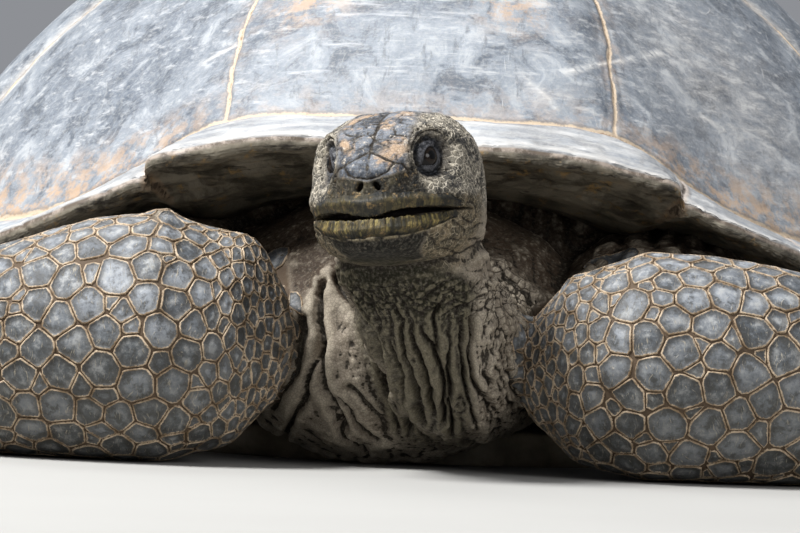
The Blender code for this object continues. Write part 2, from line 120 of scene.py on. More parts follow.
# Head, in its own frame: x to the animal's left, y backwards from the tip of the snout and z up
# from the line of the mouth. Per station: y, half width, top, bottom, level of greatest width.
HEAD_STATIONS = [
    (0.000, 0.0100, 0.0260, -0.0230, 0.004),
    (0.003, 0.0180, 0.0310, -0.0290, 0.004),
    (0.010, 0.0285, 0.0390, -0.0320, 0.003),
    (0.022, 0.0395, 0.0500, -0.0340, 0.003),
    (0.038, 0.0495, 0.0615, -0.0355, 0.004),
    (0.056, 0.0572, 0.0690, -0.0370, 0.006),
    (0.078, 0.0602, 0.0730, -0.0380, 0.009),
    (0.100, 0.0602, 0.0735, -0.0385, 0.010),
    (0.125, 0.0545, 0.0630, -0.0375, 0.009),
    (0.148, 0.0455, 0.0500, -0.0350, 0.007),
    (0.165, 0.0370, 0.0390, -0.0300, 0.004),
]
HEAD_POWER = 2.9
HEAD_TIP = Vector((-0.0245, -0.777, 0.193))
HEAD_YAW = math.radians(-13.5)
HEAD_ROLL = math.radians(-6.5)
HEAD_PITCH = math.radians(2.0)
MOUTH_CORNER_Y = 0.066
MOUTH_DEPTH = 0.016
EYE_PLACE = Vector((0.0291, 0.0430, 0.0356))
EYE_RADIUS = 0.0116
EYE_GAZE = Vector((0.84, -0.52, 0.16)).normalized()
EYE_OPENING = (0.0096, 0.0064)  # half length and half height between the lids
NOSTRIL = (0.0062, 0.0158)  # x and z
LID_REACH = (0.0140, 0.0110)  # half length and half height of the lids
BEAK_OUTER = 26  # rows on the outside of a beak
BEAK_INNER = 8  # rows on its inside
# Seams between the plates on the snout: half of them, as x and z seen from in front
SNOUT_SEAMS = [
    [(0.0, 0.075), (0.0, 0.022)],
    [(0.0, 0.0420), (0.0070, 0.0380), (0.0145, 0.0342), (0.0190, 0.0315), (0.0240, 0.0312)],
    [(0.0, 0.0212), (0.0080, 0.0222), (0.0145, 0.0250), (0.0190, 0.0315)],
    [(0.0240, 0.0312), (0.0285, 0.0260), (0.0300, 0.0180)],
]

# Middle line of the neck, in the shell's frame
NECK_LINE = [
    (0.008, -0.390, 0.115),
    (0.026, -0.480, 0.098),
    (0.040, -0.560, 0.084),
    (0.031, -0.620, 0.098),
    (0.011, -0.654, 0.133),
    (0.000, -0.678, 0.172),
    (-0.004, -0.690, 0.200),
]

FLESH = ["trunk", "neck_base", "neck", "tail"] + [
    f"{name}_{side}"
    for name in ("upper_arm", "forearm", "forefoot", "thigh", "shank", "hindfoot")
    for side in ("left", "right")
]
VOXEL = 0.005
SWELL = 0.0014  # how far the flesh grows before it is joined, so that its pieces overlap
SCALE_DEPTH = 0.0016  # how far the skin lies inside the solids under the scale plates

# Deep creases of the loose skin beside the neck, seen from in front: depth, width, x and z
APRON_CREASES = [
    (0.011, 0.0044, [(-0.052, 0.140), (-0.041, 0.123), (-0.023, 0.099), (-0.015, 0.085), (-0.008, 0.060)]),
    (0.013, 0.0034, [(-0.063, 0.135), (-0.065, 0.107), (-0.064, 0.082), (-0.060, 0.058), (-0.044, 0.029)]),
    (0.009, 0.0030, [(-0.066, 0.090), (-0.074, 0.052), (-0.092, 0.020)]),
    (0.006, 0.0026, [(-0.075, 0.110), (-0.082, 0.070), (-0.100, 0.040)]),
    (0.008, 0.0026, [(-0.050, 0.051), (-0.034, 0.033), (-0.019, 0.019)]),
    (0.007, 0.0024, [(-0.058, 0.044), (-0.046, 0.024), (-0.030, 0.010)]),
    (0.006, 0.0024, [(-0.040, 0.060), (-0.024, 0.046), (-0.010, 0.030)]),
]
# Grooves between the folds of the throat, from the animal's right to its left, the same way
THROAT_GROOVES = [
    (0.0080, 0.0020, [(-0.020, 0.104), (-0.014, 0.069), (-0.002, 0.030)]),
    (0.0090, 0.0024, [(-0.009, 0.101), (-0.001, 0.067), (0.007, 0.030)]),
    (0.0070, 0.0020, [(-0.007, 0.127), (0.001, 0.113), (0.003, 0.098), (0.006, 0.069), (0.017, 0.036)]),
    (0.0100, 0.0026, [(0.005, 0.118), (0.010, 0.100), (0.017, 0.075), (0.021, 0.048)]),
    (0.0100, 0.0024, [(0.013, 0.112), (0.022, 0.090), (0.029, 0.075), (0.031, 0.040)]),
    (0.0060, 0.0018, [(0.028, 0.135), (0.024, 0.117), (0.023, 0.092)]),
    (0.0100, 0.0026, [(0.033, 0.118), (0.034, 0.076), (0.039, 0.030)]),
    (0.0080, 0.0020, [(0.041, 0.120), (0.044, 0.088), (0.056, 0.034)]),
    (0.0090, 0.0026, [(0.048, 0.130), (0.051, 0.081), (0.068, 0.034)]),
    (0.0050, 0.0018, [(0.056, 0.140), (0.060, 0.105), (0.072, 0.066)]),
]

# Long folds that stand out from the throat: height, half width, x and z
THROAT_FOLDS = [
    (0.0045, 0.0026, [(0.006, 0.112), (0.012, 0.093), (0.021, 0.072), (0.027, 0.059), (0.024, 0.045)]),
    (0.0045, 0.0028, [(0.034, 0.114), (0.033, 0.093), (0.040, 0.072), (0.036, 0.038)]),
    (0.0035, 0.0024, [(0.045, 0.092), (0.052, 0.072), (0.051, 0.044)]),
    (0.0035, 0.0022, [(0.000, 0.094), (0.003, 0.076), (0.000, 0.065), (0.012, 0.042)]),
    (0.0045, 0.0026, [(-0.017, 0.094), (-0.010, 0.081), (-0.008, 0.061), (-0.001, 0.034)]),
]

ROUND_KNEE = (-0.112, -0.600, 0.158)  # where the folded right foreleg is fullest

# Plates of the limbs: the gap between two of them, and their edge as (inset, height)
PLATE_GAP = 0.0002
PLATE_SLACK = 0.012  # how far plates may lie past a limb's reach
PLATE_LARGE = 0.011  # width above which a plate has its limb's number of corners
SMALL_SIDES = 12  # corners of a smaller plate
SPREAD_ROUNDS = 16
FILLER_TRIES = 2600
FILLER_ROOM = 0.0030  # least room in which a filler plate is set
PLATE_PROFILE = [
    (0.0, -0.0008),
    (0.0002, 0.0003),
    (0.0006, 0.0012),
    (0.0013, 0.0014),
    (0.0021, 0.0008),
    (0.0032, 0.0005),
]


def mirrored(line):
    """The same line on the other side of the mid plane."""
    return [(-x, y, z, reach) for x, y, z, reach in line]


FORELIMB = [
    (0.104, -0.594, 0.080, 0.086),
    (0.205, -0.596, 0.084, 0.091),
    (0.315, -0.568, 0.072, 0.080),
    (0.405, -0.520, 0.053, 0.062),
    (0.458, -0.498, 0.034, 0.050),
]
HINDLIMB = [
    (0.262, 0.375, 0.112, 0.082),
    (0.292, 0.400, 0.078, 0.070),
    (0.312, 0.414, 0.050, 0.074),
    (0.318, 0.411, 0.004, 0.078),
]
TAIL = [
    (0.000, 0.470, 0.085, 0.040),
    (0.012, 0.520, 0.048, 0.028),
    (0.022, 0.545, 0.018, 0.018),
]


def forelimb_size(local):
    """Width of the plates: large on the forearm's face, small at its ends and over its top."""
    x, z = np.abs(local[:, 0]), local[:, 2]
    size = 0.0240 - 0.0125 * step(x, 0.175, 0.090)
    size -= 0.005 * step(z, 0.135, 0.170) * step(x, 0.10, 0.15)
    return size - 0.003 * step(x, 0.36, 0.44)


# By height: where the plates of the left and of the right foreleg begin, away from the mid plane
PLATES_BEGIN = [
    (0.020, 0.112, 0.112),
    (0.031, 0.104, 0.105),
    (0.060, 0.089, 0.092),
    (0.094, 0.087, 0.088),
    (0.120, 0.094, 0.089),
    (0.137, 0.106, 0.092),
    (0.153, 0.130, 0.095),
    (0.175, 0.170, 0.120),
]


def hindlimb_size(local):
    """Width of the plates, the same all over the limb."""
    return np.full(len(local), 0.0190)


def tail_size(local):
    """Width of the plates, the same all along the tail."""
    return np.full(len(local), 0.0095)


def beside_neck(local):
    """1 where the forelegs stand free of the loose skin, which reaches further out behind."""
    heights, left, right = np.array(PLATES_BEGIN).T
    border = np.where(local[:, 0] > 0, *(np.interp(local[:, 2], heights, x) for x in (left, right)))
    border = border + 0.05 * step(local[:, 1], -0.55, -0.48)
    return step(np.abs(local[:, 0]) - border, -0.007, 0.001)


def anywhere(local):
    """1 all over, for limbs that have plates everywhere."""
    return np.ones(len(local))


def stretch_at(x):
    """How much narrower than high the plates are, at a distance from the shell's mid plane."""
    return 1 + 1.0 * step(x, 0.165, 0.105)


def stretch_table():
    """Distances from the mid plane, as they are and as they are in the widened space."""
    plain = np.linspace(0, 0.7, 1401)
    return plain, np.cumsum(stretch_at(plain)) * (plain[1] - plain[0])


def widened(points):
    """Space in which the forelegs' plates are as wide as high."""
    plain, wide = stretch_table()
    x = np.interp(np.abs(points[:, 0]), plain, wide) * np.sign(points[:, 0])
    return np.stack([x, points[:, 1], points[:, 2]], axis=1)


def narrowed(points):
    """Back from that space."""
    plain, wide = stretch_table()
    x = np.interp(np.abs(points[:, 0]), wide, plain) * np.sign(points[:, 0])
    return np.stack([x, points[:, 1], points[:, 2]], axis=1)


def limb_of(line, size, tries, sides, keep):
    """tries is how many seeds are tried, sides the corners of a large plate's outline."""
    return {"line": line, "size": size, "tries": tries, "sides": sides, "keep": keep}


LIMBS = {
    "foreleg_left": limb_of(FORELIMB, forelimb_size, 16000, 22, beside_neck),
    "foreleg_right": limb_of(mirrored(FORELIMB), forelimb_size, 16000, 22, beside_neck),
    "hindleg_left": limb_of(HINDLIMB, hindlimb_size, 8000, 20, anywhere),
    "hindleg_right": limb_of(mirrored(HINDLIMB), hindlimb_size, 8000, 20, anywhere),
    "tail": limb_of(TAIL, tail_size, 5000, 14, anywhere),
}

# Camera: distance, height and, in degrees, heading round the shell's middle, aim and roll; the
# focal length is in millimetres
CAMERA_AWAY = 5.25
CAMERA_HEIGHT = 0.20
CAMERA_HEADING = 1.5
CAMERA_AIM_LEFT = 0.2728
CAMERA_AIM_DOWN = 0.6048
CAMERA_ROLL = 2.2
CAMERA_FOCAL = 283.5

# Lights: place, aim, size and power in watts
LIGHTS = {
    "key": ((-1.8, -1.4, 3.2), (0, -0.2, 0.2), (1.6, 1.6), 300),
    "fill": ((2.8, -3.6, 1.8), (0, -0.3, 0.2), (2.0, 2.0), 62),
    "back": ((-0.8, 2.4, 3.4), (0, 0.0, 0.3), (3.0, 2.0), 60),
}
SKY_COLOUR = (0.90, 0.93, 1.0, 1.0)
SKY_STRENGTH = 0.30
FLOOR_REACH = 40.0

# Claws: middle of the foot's fan, its radius, height, and each claw's heading in degrees
FORE_CLAWS = ((0.424, -0.512), 0.062, 0.018, (16, 42, 68, 94, 120))
HIND_CLAWS = ((0.318, 0.411), 0.071, 0.016, (8, 33, 58, 83))
CLAW_LENGTH = 0.036
CLAW_RADIUS = 0.0098

SEED = 7


# Numbers


def spline(stations, at):
    """Smooth values at the places `at`, through stations of (place, value, ...)."""
    table = np.array(stations, float)
    place, values = table[:, 0], table[:, 1:]
    slope = np.gradient(values, place, axis=0)
    at = np.clip(np.atleast_1d(at), place[0], place[-1])
    i = np.clip(np.searchsorted(place, at) - 1, 0, len(place) - 2)
    width = (place[i + 1] - place[i])[:, None]
    u = (at - place[i])[:, None] / width
    begin = (1 + 2 * u) * (1 - u) ** 2 * values[i] + u * (1 - u) ** 2 * width * slope[i]
    end = u**2 * (3 - 2 * u) * values[i + 1] - u**2 * (1 - u) * width * slope[i + 1]
    return begin + end


def round_turn(count):
    """Angles set evenly round a circle."""
    return 2 * math.pi * np.arange(count) / count


def step(value, low, high):
    """0 at low and 1 at high, smooth between; low may be the larger."""
    t = np.clip((value - low) / (high - low), 0, 1)
    return t * t * (3 - 2 * t)


def bell(value, width):
    """1 at 0, falling smoothly to nothing a few widths away."""
    return np.exp(-((value / width) ** 2))


def lattice(corner, seed):
    """A repeatable number from -1 to 1 for each row of whole numbers."""
    mixed = corner[:, 0] * 374761393 + corner[:, 1] * 668265263 + corner[:, 2] * 974634777
    mixed = (mixed + seed * 1013904223) & 0xFFFFFFFF
    mixed = ((mixed ^ (mixed >> 13)) * 1274126177) & 0xFFFFFFFF
    mixed = mixed ^ (mixed >> 16)
    return mixed / 2147483647.5 - 1


def noise(points, size, seed):
    """Smooth noise from -1 to 1 whose bumps are about `size` metres across."""
    place = points / size
    low = np.floor(place)
    part = place - low
    low = low.astype(np.int64)
    blend = part * part * (3 - 2 * part)
    total = np.zeros(len(points))
    for corner in np.ndindex(2, 2, 2):
        weight = np.prod(np.where(corner, blend, 1 - blend), axis=1)
        total += weight * lattice(low + corner, seed)
    return total


def rough(points, size, seed, octaves=3):
    """Noise with finer noise on it."""
    total = np.zeros(len(points))
    for i in range(octaves):
        total += noise(points, size / 2**i, seed + i) / 2**i
    return total / 1.6


def creases(points, size, seed, octaves=2):
    """0 in narrow creases and up to 1 on the swellings between them."""
    total = np.zeros(len(points))
    for i in range(octaves):
        total += np.minimum(np.abs(noise(points, size / 2**i, seed + i)) * 2.6, 1) / 2**i
    return total / sum(1 / 2**i for i in range(octaves))


def cells(points, size, seed):
    """Random cells about `size` across: distance to the nearest border, and a number per cell."""
    place = points / size
    base = np.floor(place).astype(np.int64)
    near = np.full(len(points), 1e9)
    second = near.copy()
    near_spot = np.zeros_like(place)
    second_spot = np.zeros_like(place)
    number = np.zeros(len(points))
    for shift in np.ndindex(3, 3, 3):
        corner = base + np.array(shift) - 1
        jitter = np.stack([lattice(corner, seed + k) for k in range(3)], axis=1)
        spot = corner + 0.5 + 0.42 * jitter
        away = ((spot - place) ** 2).sum(1)
        closer = away < near
        between = ~closer & (away < second)
        second_spot[closer], second[closer] = near_spot[closer], near[closer]
        second_spot[between], second[between] = spot[between], away[between]
        near_spot[closer], near[closer] = spot[closer], away[closer]
        number[closer] = jitter[closer, 0]
    apart = np.linalg.norm(second_spot - near_spot, axis=1)
    return (second - near) / (2 * apart) * size, number


def line_distance(points, line):
    """Distance from 2-D points to a line of 2-D points."""
    best = np.full(len(points), 1e9)
    for start, end in zip(np.array(line[:-1], float), np.array(line[1:], float)):
        along = end - start
        t = np.clip((points - start) @ along / (along @ along), 0, 1)
        best = np.minimum(best, np.linalg.norm(points - start - t[:, None] * along, axis=1))
    return best


# Meshes as arrays


def node_arrays(obj):
    """Points and triangles of a node, with its split edges welded."""
    mesh = obj.data
    mesh.calc_loop_triangles()
    points = np.empty(len(mesh.vertices) * 3)
    mesh.vertices.foreach_get("co", points)
    faces = np.empty(len(mesh.loop_triangles) * 3, np.int64)
    mesh.loop_triangles.foreach_get("vertices", faces)
    points = points.reshape(-1, 3)
    _, first, index = np.unique(
        np.round(points, 6), axis=0, return_index=True, return_inverse=True
    )
    faces = index.reshape(-1)[faces].reshape(-1, 3)
    ends = faces[:, [1, 2, 0]]
    return points[first], faces[(faces != ends).all(1)]


def face_normals(points, faces):
    """Normals of the faces, as long as twice their area."""
    a, b, c = (points[faces[:, k]] for k in range(3))
    return np.cross(b - a, c - a)


def normals(points, faces):
    """Unit normals at the points."""
    flat = face_normals(points, faces)
    total = np.zeros_like(points)
    for k in range(3):
        for axis in range(3):
            total[:, axis] += np.bincount(faces[:, k], flat[:, axis], len(points))
    return total / np.maximum(np.linalg.norm(total, axis=1), 1e-12)[:, None]


def edges_of(faces):
    """The edges, each once, and the place of each face's three edges among them."""
    pairs = np.sort(faces[:, [[0, 1], [1, 2], [2, 0]]], axis=-1).reshape(-1, 2)
    size = int(faces.max()) + 1
    keys, inverse = np.unique(pairs[:, 0] * size + pairs[:, 1], return_inverse=True)
    return np.stack([keys // size, keys % size], axis=1), inverse.reshape(-1, 3)


def neighbour_mean(values, edges):
    """Mean of each point's neighbours along the edges."""
    count = np.bincount(edges.ravel(), minlength=len(values))
    total = np.zeros_like(values)
    for axis in range(values.shape[1]):
        total[:, axis] = np.bincount(edges[:, 0], values[edges[:, 1], axis], len(values))
        total[:, axis] += np.bincount(edges[:, 1], values[edges[:, 0], axis], len(values))
    return total / np.maximum(count, 1)[:, None]


def smoothed(points, faces, times):
    """Eases the points towards their neighbours and back, so that the volume stays."""
    edges, _ = edges_of(faces)
    for _ in range(times):
        points = points + 0.5 * (neighbour_mean(points, edges) - points)
        points = points - 0.52 * (neighbour_mean(points, edges) - points)
    return points


def refined(points, faces, length_at, rounds):
    """Splits edges until they are about as long as length_at says. Extra columns of points
    are carried along."""
    for _ in range(rounds):
        edges, of_face = edges_of(faces)
        a, b = edges.T
        middle = (points[a] + points[b]) / 2
        length = np.linalg.norm(points[a, :3] - points[b, :3], axis=1)
        cut = length > 1.35 * length_at(middle)
        if not cut.any():
            break
        number = np.full(len(edges), -1)
        number[cut] = len(points) + np.arange(cut.sum())
        points = np.vstack([points, middle[cut]])
        faces = split_faces(faces, number[of_face])
    return points, faces


def split_faces(faces, mids):
    """Replaces each triangle by one to four, where its edges have a middle point."""
    count = (mids >= 0).sum(1)
    parts = [faces[count == 0]]
    turn = np.where(count == 2, np.argmin(mids, axis=1), np.argmax(mids, axis=1))
    order = (turn[:, None] + np.arange(3)) % 3
    corner = np.take_along_axis(faces, order, 1)
    mids = np.take_along_axis(mids, order, 1)
    one, two, three = (count == k for k in (1, 2, 3))
    a, b, c = corner[one].T
    m = mids[one, 0]
    parts += [np.stack([a, m, c], 1), np.stack([m, b, c], 1)]
    a, b, c = corner[two].T
    m, n = mids[two, 1], mids[two, 2]
    parts += [np.stack(t, 1) for t in ((c, n, m), (a, b, m), (a, m, n))]
    a, b, c = corner[three].T
    k, m, n = mids[three].T
    parts += [np.stack(t, 1) for t in ((a, k, n), (k, b, m), (n, m, c), (k, m, n))]
    return np.vstack(parts)


def largest_body(points, faces):
    """Keeps only the body with the most points."""
    edges, _ = edges_of(faces)
    label = np.arange(len(points))
    while True:
        low = np.minimum(label[edges[:, 0]], label[edges[:, 1]])
        before = label.copy()
        np.minimum.at(label, edges[:, 0], low)
        np.minimum.at(label, edges[:, 1], low)
        label = label[label]
        if (label == before).all():
            break
    kept = label == np.bincount(label).argmax()
    index = np.cumsum(kept) - 1
    return points[kept], index[faces[kept[faces[:, 0]]]]


def grid_faces(rows, columns):
    """Triangles between rings of points, each ring's last point joined to its first."""
    i, j = np.meshgrid(np.arange(rows - 1), np.arange(columns), indexing="ij")
    a = (i * columns + j).ravel()
    b = (i * columns + (j + 1) % columns).ravel()
    c, d = a + columns, b + columns
    return np.vstack([np.stack([a, b, d], 1), np.stack([a, d, c], 1)])


def cap_faces(row, columns, flip):
    """Closes a ring of points with a fan from its first point."""
    first = row * columns
    j = np.arange(1, columns - 1)
    fan = np.stack([np.full(len(j), first), first + j + 1, first + j], axis=1)
    return fan[:, ::-1] if flip else fan


def tube_faces(rows, columns):
    """Triangles of a tube made of rings of points, with both ends closed."""
    ends = (cap_faces(i, columns, i > 0) for i in (0, rows - 1))
    return np.vstack([grid_faces(rows, columns), *ends])


def tree_of(points, faces):
    """A search tree of the triangles, for nearest points and rays."""
    return BVHTree.FromPolygons(points.tolist(), faces.tolist())


def nearest_on(tree, points):
    """Nearest points of a surface, their normals and their distances."""
    found = [tree.find_nearest(p) for p in points.tolist()]
    spots = np.array([f[0] for f in found])
    turned = np.array([f[1] for f in found])
    return spots, turned, np.array([f[3] for f in found])


def build(name, points, faces, material, values, chart):
    """A smooth-shaded piece that rides on the body, with point attributes and a bake map."""
    mesh = bpy.data.meshes.new(name)
    mesh.vertices.add(len(points))
    mesh.vertices.foreach_set("co", points.astype(np.float32).ravel())
    mesh.loops.add(faces.size)
    mesh.loops.foreach_set("vertex_index", faces.astype(np.int32).ravel())
    mesh.polygons.add(len(faces))
    mesh.polygons.foreach_set("loop_start", np.arange(0, faces.size, 3, dtype=np.int32))
    mesh.update(calc_edges=True)
    mesh.shade_smooth()
    for key, value in values.items():
        layer = mesh.attributes.new(key, "FLOAT", "POINT")
        layer.data.foreach_set("value", np.asarray(value, np.float32))
    layer = mesh.uv_layers.new(name="OFBake")
    layer.data.foreach_set("uv", chart.astype(np.float32).ravel())
    mesh.materials.append(material)
    obj = bpy.data.objects.new(name, mesh)
    bpy.context.scene.collection.objects.link(obj)
    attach(obj, "root")
    return obj


def box_charts(points, faces, region, weight):
    """A bake map: each region is laid out from the six sides that its faces look to. weight
    gives each region's share of detail."""
    flat = face_normals(points, faces)
    axis = np.abs(flat).argmax(1)
    side = np.take_along_axis(flat, axis[:, None], 1)[:, 0] > 0
    kind = region[faces[:, 0]] * 6 + axis * 2 + side
    charts = []
    for key in np.unique(kind):
        own = kind == key
        across, up = [k for k in range(3) if k != (key % 6) // 2]
        flat_place = points[faces[own]][:, :, [across, up]] * weight[key // 6]
        low = flat_place.reshape(-1, 2).min(0)
        charts.append((own, flat_place - low, flat_place.reshape(-1, 2).max(0) - low))
    return packed(charts, len(faces))


def packed(charts, count):
    """Sets the charts in rows inside the unit square."""
    charts = sorted(charts, key=lambda chart: -chart[2][1])
    total = sum(size[0] * size[1] for _, _, size in charts)
    side, margin = math.sqrt(total) * 1.02, 0.004
    while True:
        places = rows_of_charts([size for _, _, size in charts], side, margin * side)
        if places is not None:
            break
        side *= 1.02
    uv = np.zeros((count, 3, 2))
    for (own, flat_place, _), place in zip(charts, places):
        uv[own] = (flat_place + place) / side
    return uv


def rows_of_charts(sizes, side, margin):
    """Corners for the charts in rows, or None if they don't fit in a square of this side."""
    x, y, row = margin, margin, 0.0
    places = []
    for wide, high in sizes:
        if x + wide + margin > side:
            x, y, row = margin, y + row + margin, 0.0
        if y + high + margin > side or x + wide + margin > side:
            return None
        places.append((x, y))
        x, row = x + wide + margin, max(row, high)
    return places


# Materials


class Paint:
    """A procedural material, built from short calls that each add a node."""

    def __init__(self, name, roughness, specular=0.4):
        self.material = bpy.data.materials.new(name)
        self.material.use_nodes = True
        self.tree = self.material.node_tree
        self.shader = self.tree.nodes["Principled BSDF"]
        self.shader.inputs["Roughness"].default_value = roughness
        self.shader.inputs["Specular IOR Level"].default_value = specular
        self.place = self.tree.nodes.new("ShaderNodeTexCoord").outputs["Object"]

    def put(self, socket, value):
        if isinstance(value, bpy.types.NodeSocket):
            self.tree.links.new(value, socket)
        elif isinstance(value, tuple) and len(value) == 3 and socket.type == "RGBA":
            socket.default_value = (*value, 1.0)
        else:
            socket.default_value = value

    def node(self, kind, settings=(), **inputs):
        made = self.tree.nodes.new(kind)
        for key, value in dict(settings).items():
            setattr(made, key, value)
        for key, value in inputs.items():
            self.put(made.inputs[key], value)
        return made

    def value(self, name):
        return self.node("ShaderNodeAttribute", {"attribute_name": name}).outputs["Fac"]

    def stretched(self, scale, turn=(0, 0, 0), place=None):
        start = place or self.place
        made = self.node("ShaderNodeMapping", Vector=start, Scale=scale, Rotation=turn)
        return made.outputs["Vector"]

    def noise(self, scale, detail, roughness, place=None, distortion=0.0):
        made = self.node(
            "ShaderNodeTexNoise",
            Vector=place or self.place,
            Scale=scale,
            Detail=detail,
            Roughness=roughness,
            Distortion=distortion,
        )
        return made.outputs["Fac"]

    def cell_border(self, scale, place=None):
        """Distance to the border of small random cells, 0 at the border."""
        settings = {"feature": "DISTANCE_TO_EDGE"}
        made = self.node("ShaderNodeTexVoronoi", settings, Vector=place or self.place, Scale=scale)
        return made.outputs["Distance"]

    def bent(self, reach, scale):
        """The object's coordinates, pushed about by a little noise."""
        noise = self.node("ShaderNodeTexNoise", Vector=self.place, Scale=scale, Detail=2.0)
        centred = self.node("ShaderNodeVectorMath", {"operation": "SUBTRACT"})
        self.put(centred.inputs[0], noise.outputs["Color"])
        centred.inputs[1].default_value = (0.5, 0.5, 0.5)
        pushed = self.node("ShaderNodeVectorMath", {"operation": "SCALE"})
        self.put(pushed.inputs[0], centred.outputs[0])
        pushed.inputs["Scale"].default_value = reach
        made = self.node("ShaderNodeVectorMath", {"operation": "ADD"})
        self.put(made.inputs[0], self.place)
        self.put(made.inputs[1], pushed.outputs[0])
        return made.outputs[0]

    def height(self):
        """Height over the floor in metres."""
        return self.node("ShaderNodeSeparateXYZ", Vector=self.place).outputs["Z"]

    def calc(self, operation, a, b):
        made = self.node("ShaderNodeMath", {"operation": operation})
        self.put(made.inputs[0], a)
        self.put(made.inputs[1], b)
        return made.outputs[0]

    def ramp(self, value, low, high, start=0.0, end=1.0):
        """start where the value is low, end where it is high, smooth between."""
        settings = {"interpolation_type": "SMOOTHSTEP"}
        made = self.node("ShaderNodeMapRange", settings, Value=value)
        for key, number in (("From Min", low), ("From Max", high), ("To Min", start), ("To Max", end)):
            made.inputs[key].default_value = number
        return made.outputs["Result"]

    def mix(self, share, a, b):
        made = self.node("ShaderNodeMix", {"data_type": "RGBA"})
        self.put(made.inputs["Factor"], share)
        self.put(made.inputs["A"], a)
        self.put(made.inputs["B"], b)
        return next(out for out in made.outputs if out.type == "RGBA")

    def over(self, colour, tint, *ramp):
        """A tint laid over a colour, as strongly as the ramp says."""
        return self.mix(self.ramp(*ramp), colour, tint)

    def bump(self, height, distance, strength, normal=None):
        made = self.node("ShaderNodeBump", Height=height, Strength=strength, Distance=distance)
        if normal is not None:
            self.put(made.inputs["Normal"], normal)
        return made.outputs["Normal"]

    def finish(self, colour, normal, roughness=None):
        self.put(self.shader.inputs["Base Color"], colour)
        self.put(self.shader.inputs["Normal"], normal)
        if roughness is not None:
            self.put(self.shader.inputs["Roughness"], roughness)
        return self.material


def shell_paint():
    """Worn slate-grey horn: pale rubbed streaks, fine scratches, cream seams and tan patches."""
    p = Paint("tortoise_shell", 0.55, 0.42)
    wide = p.noise(5.0, 6.0, 0.62, distortion=0.8)
    mottle = p.noise(26.0, 9.0, 0.70, distortion=0.7)
    streak = p.noise(1.0, 8.0, 0.70, p.stretched((13, 60, 150), (0.0, 0.0, 0.12)))
    slanted = p.noise(1.0, 7.0, 0.68, p.stretched((120, 20, 45), (0.2, 0.5, 0.7)))
    grain = p.noise(330.0, 3.0, 0.7)
    colour = p.mix(p.ramp(wide, 0.36, 0.64), (0.105, 0.125, 0.155), (0.205, 0.230, 0.262))
    colour = p.over(colour, (0.37, 0.39, 0.41), mottle, 0.50, 0.66, 0.0, 0.75)
    colour = p.over(colour, (0.050, 0.062, 0.082), mottle, 0.50, 0.38, 0.0, 0.75)
    colour = p.over(colour, (0.47, 0.48, 0.49), streak, 0.52, 0.70, 0.0, 0.70)
    colour = p.over(colour, (0.075, 0.086, 0.105), slanted, 0.54, 0.68, 0.0, 0.60)
    colour = p.over(colour, (0.42, 0.42, 0.40), grain, 0.40, 0.75, 0.0, 0.35)
    bent = p.bent(0.05, 9.0)
    scratch = scratches(p, 0.5, (0.1, 0.0, 0.5), bent)
    for turn in ((0.3, 0.2, -0.9), (0.2, 1.2, 0.9)):
        scratch = p.calc("MAXIMUM", scratch, scratches(p, 0.6, turn, bent))
    scratch = p.calc("MULTIPLY", scratch, 0.5)
    long_ones = p.calc("MULTIPLY", p.value("scar"), p.ramp(streak, 0.35, 0.60, 0.35, 0.9))
    scratch = p.calc("MAXIMUM", scratch, long_ones)
    colour = p.mix(scratch, colour, (0.60, 0.59, 0.57))
    # Tan where the horn is worn through beside the seams, and in a few blotches
    spots = p.noise(55.0, 6.0, 0.75)
    tan = p.calc("MULTIPLY", p.value("tan"), p.ramp(spots, 0.44, 0.60, 0.0, 0.85))
    colour = p.mix(tan, colour, (0.44, 0.30, 0.19))
    pale = p.calc("MULTIPLY", p.value("worn"), p.ramp(streak, 0.30, 0.62, 0.15, 0.9))
    colour = p.mix(pale, colour, (0.52, 0.50, 0.47))
    lip = p.mix(p.ramp(spots, 0.42, 0.58), (0.115, 0.088, 0.066), (0.36, 0.30, 0.25))
    colour = p.mix(p.ramp(p.value("under"), 0.0, 0.25), colour, lip)
    colour = p.mix(p.ramp(p.value("under"), 0.35, 1.0), colour, underside_colour(p, mottle, spots))
    seam = p.value("seam")
    ragged = p.calc("ADD", seam, p.ramp(spots, 0.3, 0.7, -0.0010, 0.0010))
    colour = p.over(colour, (0.13, 0.11, 0.090), ragged, 0.0020, 0.0040, 0.35, 0.0)
    colour = p.over(colour, (0.56, 0.44, 0.31), ragged, 0.0010, 0.0021, 0.80, 0.0)
    colour = p.over(colour, (0.17, 0.105, 0.060), ragged, -0.0003, 0.0004, 0.7, 0.0)
    joint = p.calc("ADD", p.value("joint"), p.ramp(spots, 0.3, 0.7, -0.0015, 0.0015))
    colour = p.over(colour, (0.40, 0.28, 0.18), joint, 0.0025, 0.0060, 0.40, 0.0)
    colour = p.over(colour, (0.045, 0.032, 0.022), joint, 0.0006, 0.0018, 0.85, 0.0)
    normal = p.bump(grain, 0.0007, 0.5)
    normal = p.bump(mottle, 0.0020, 0.5, normal)
    normal = p.bump(p.calc("ADD", streak, scratch), 0.0012, 0.5, normal)
    return p.finish(colour, normal, p.ramp(mottle, 0.3, 0.7, 0.42, 0.66))


def underside_colour(p, mottle, spots):
    """Brown-grey horn under the marginals, with tan growth lines and dirt."""
    lines = p.noise(1.0, 6.0, 0.65, p.stretched((30, 90, 130)))
    under = p.mix(p.ramp(mottle, 0.38, 0.60), (0.050, 0.043, 0.030), (0.200, 0.178, 0.135))
    under = p.over(under, (0.24, 0.20, 0.14), lines, 0.52, 0.68, 0.0, 0.6)
    under = p.over(under, (0.014, 0.011, 0.008), lines, 0.46, 0.36, 0.0, 0.8)
    return p.mix(p.ramp(spots, 0.55, 0.68, 0.0, 0.8), under, (0.30, 0.185, 0.065))


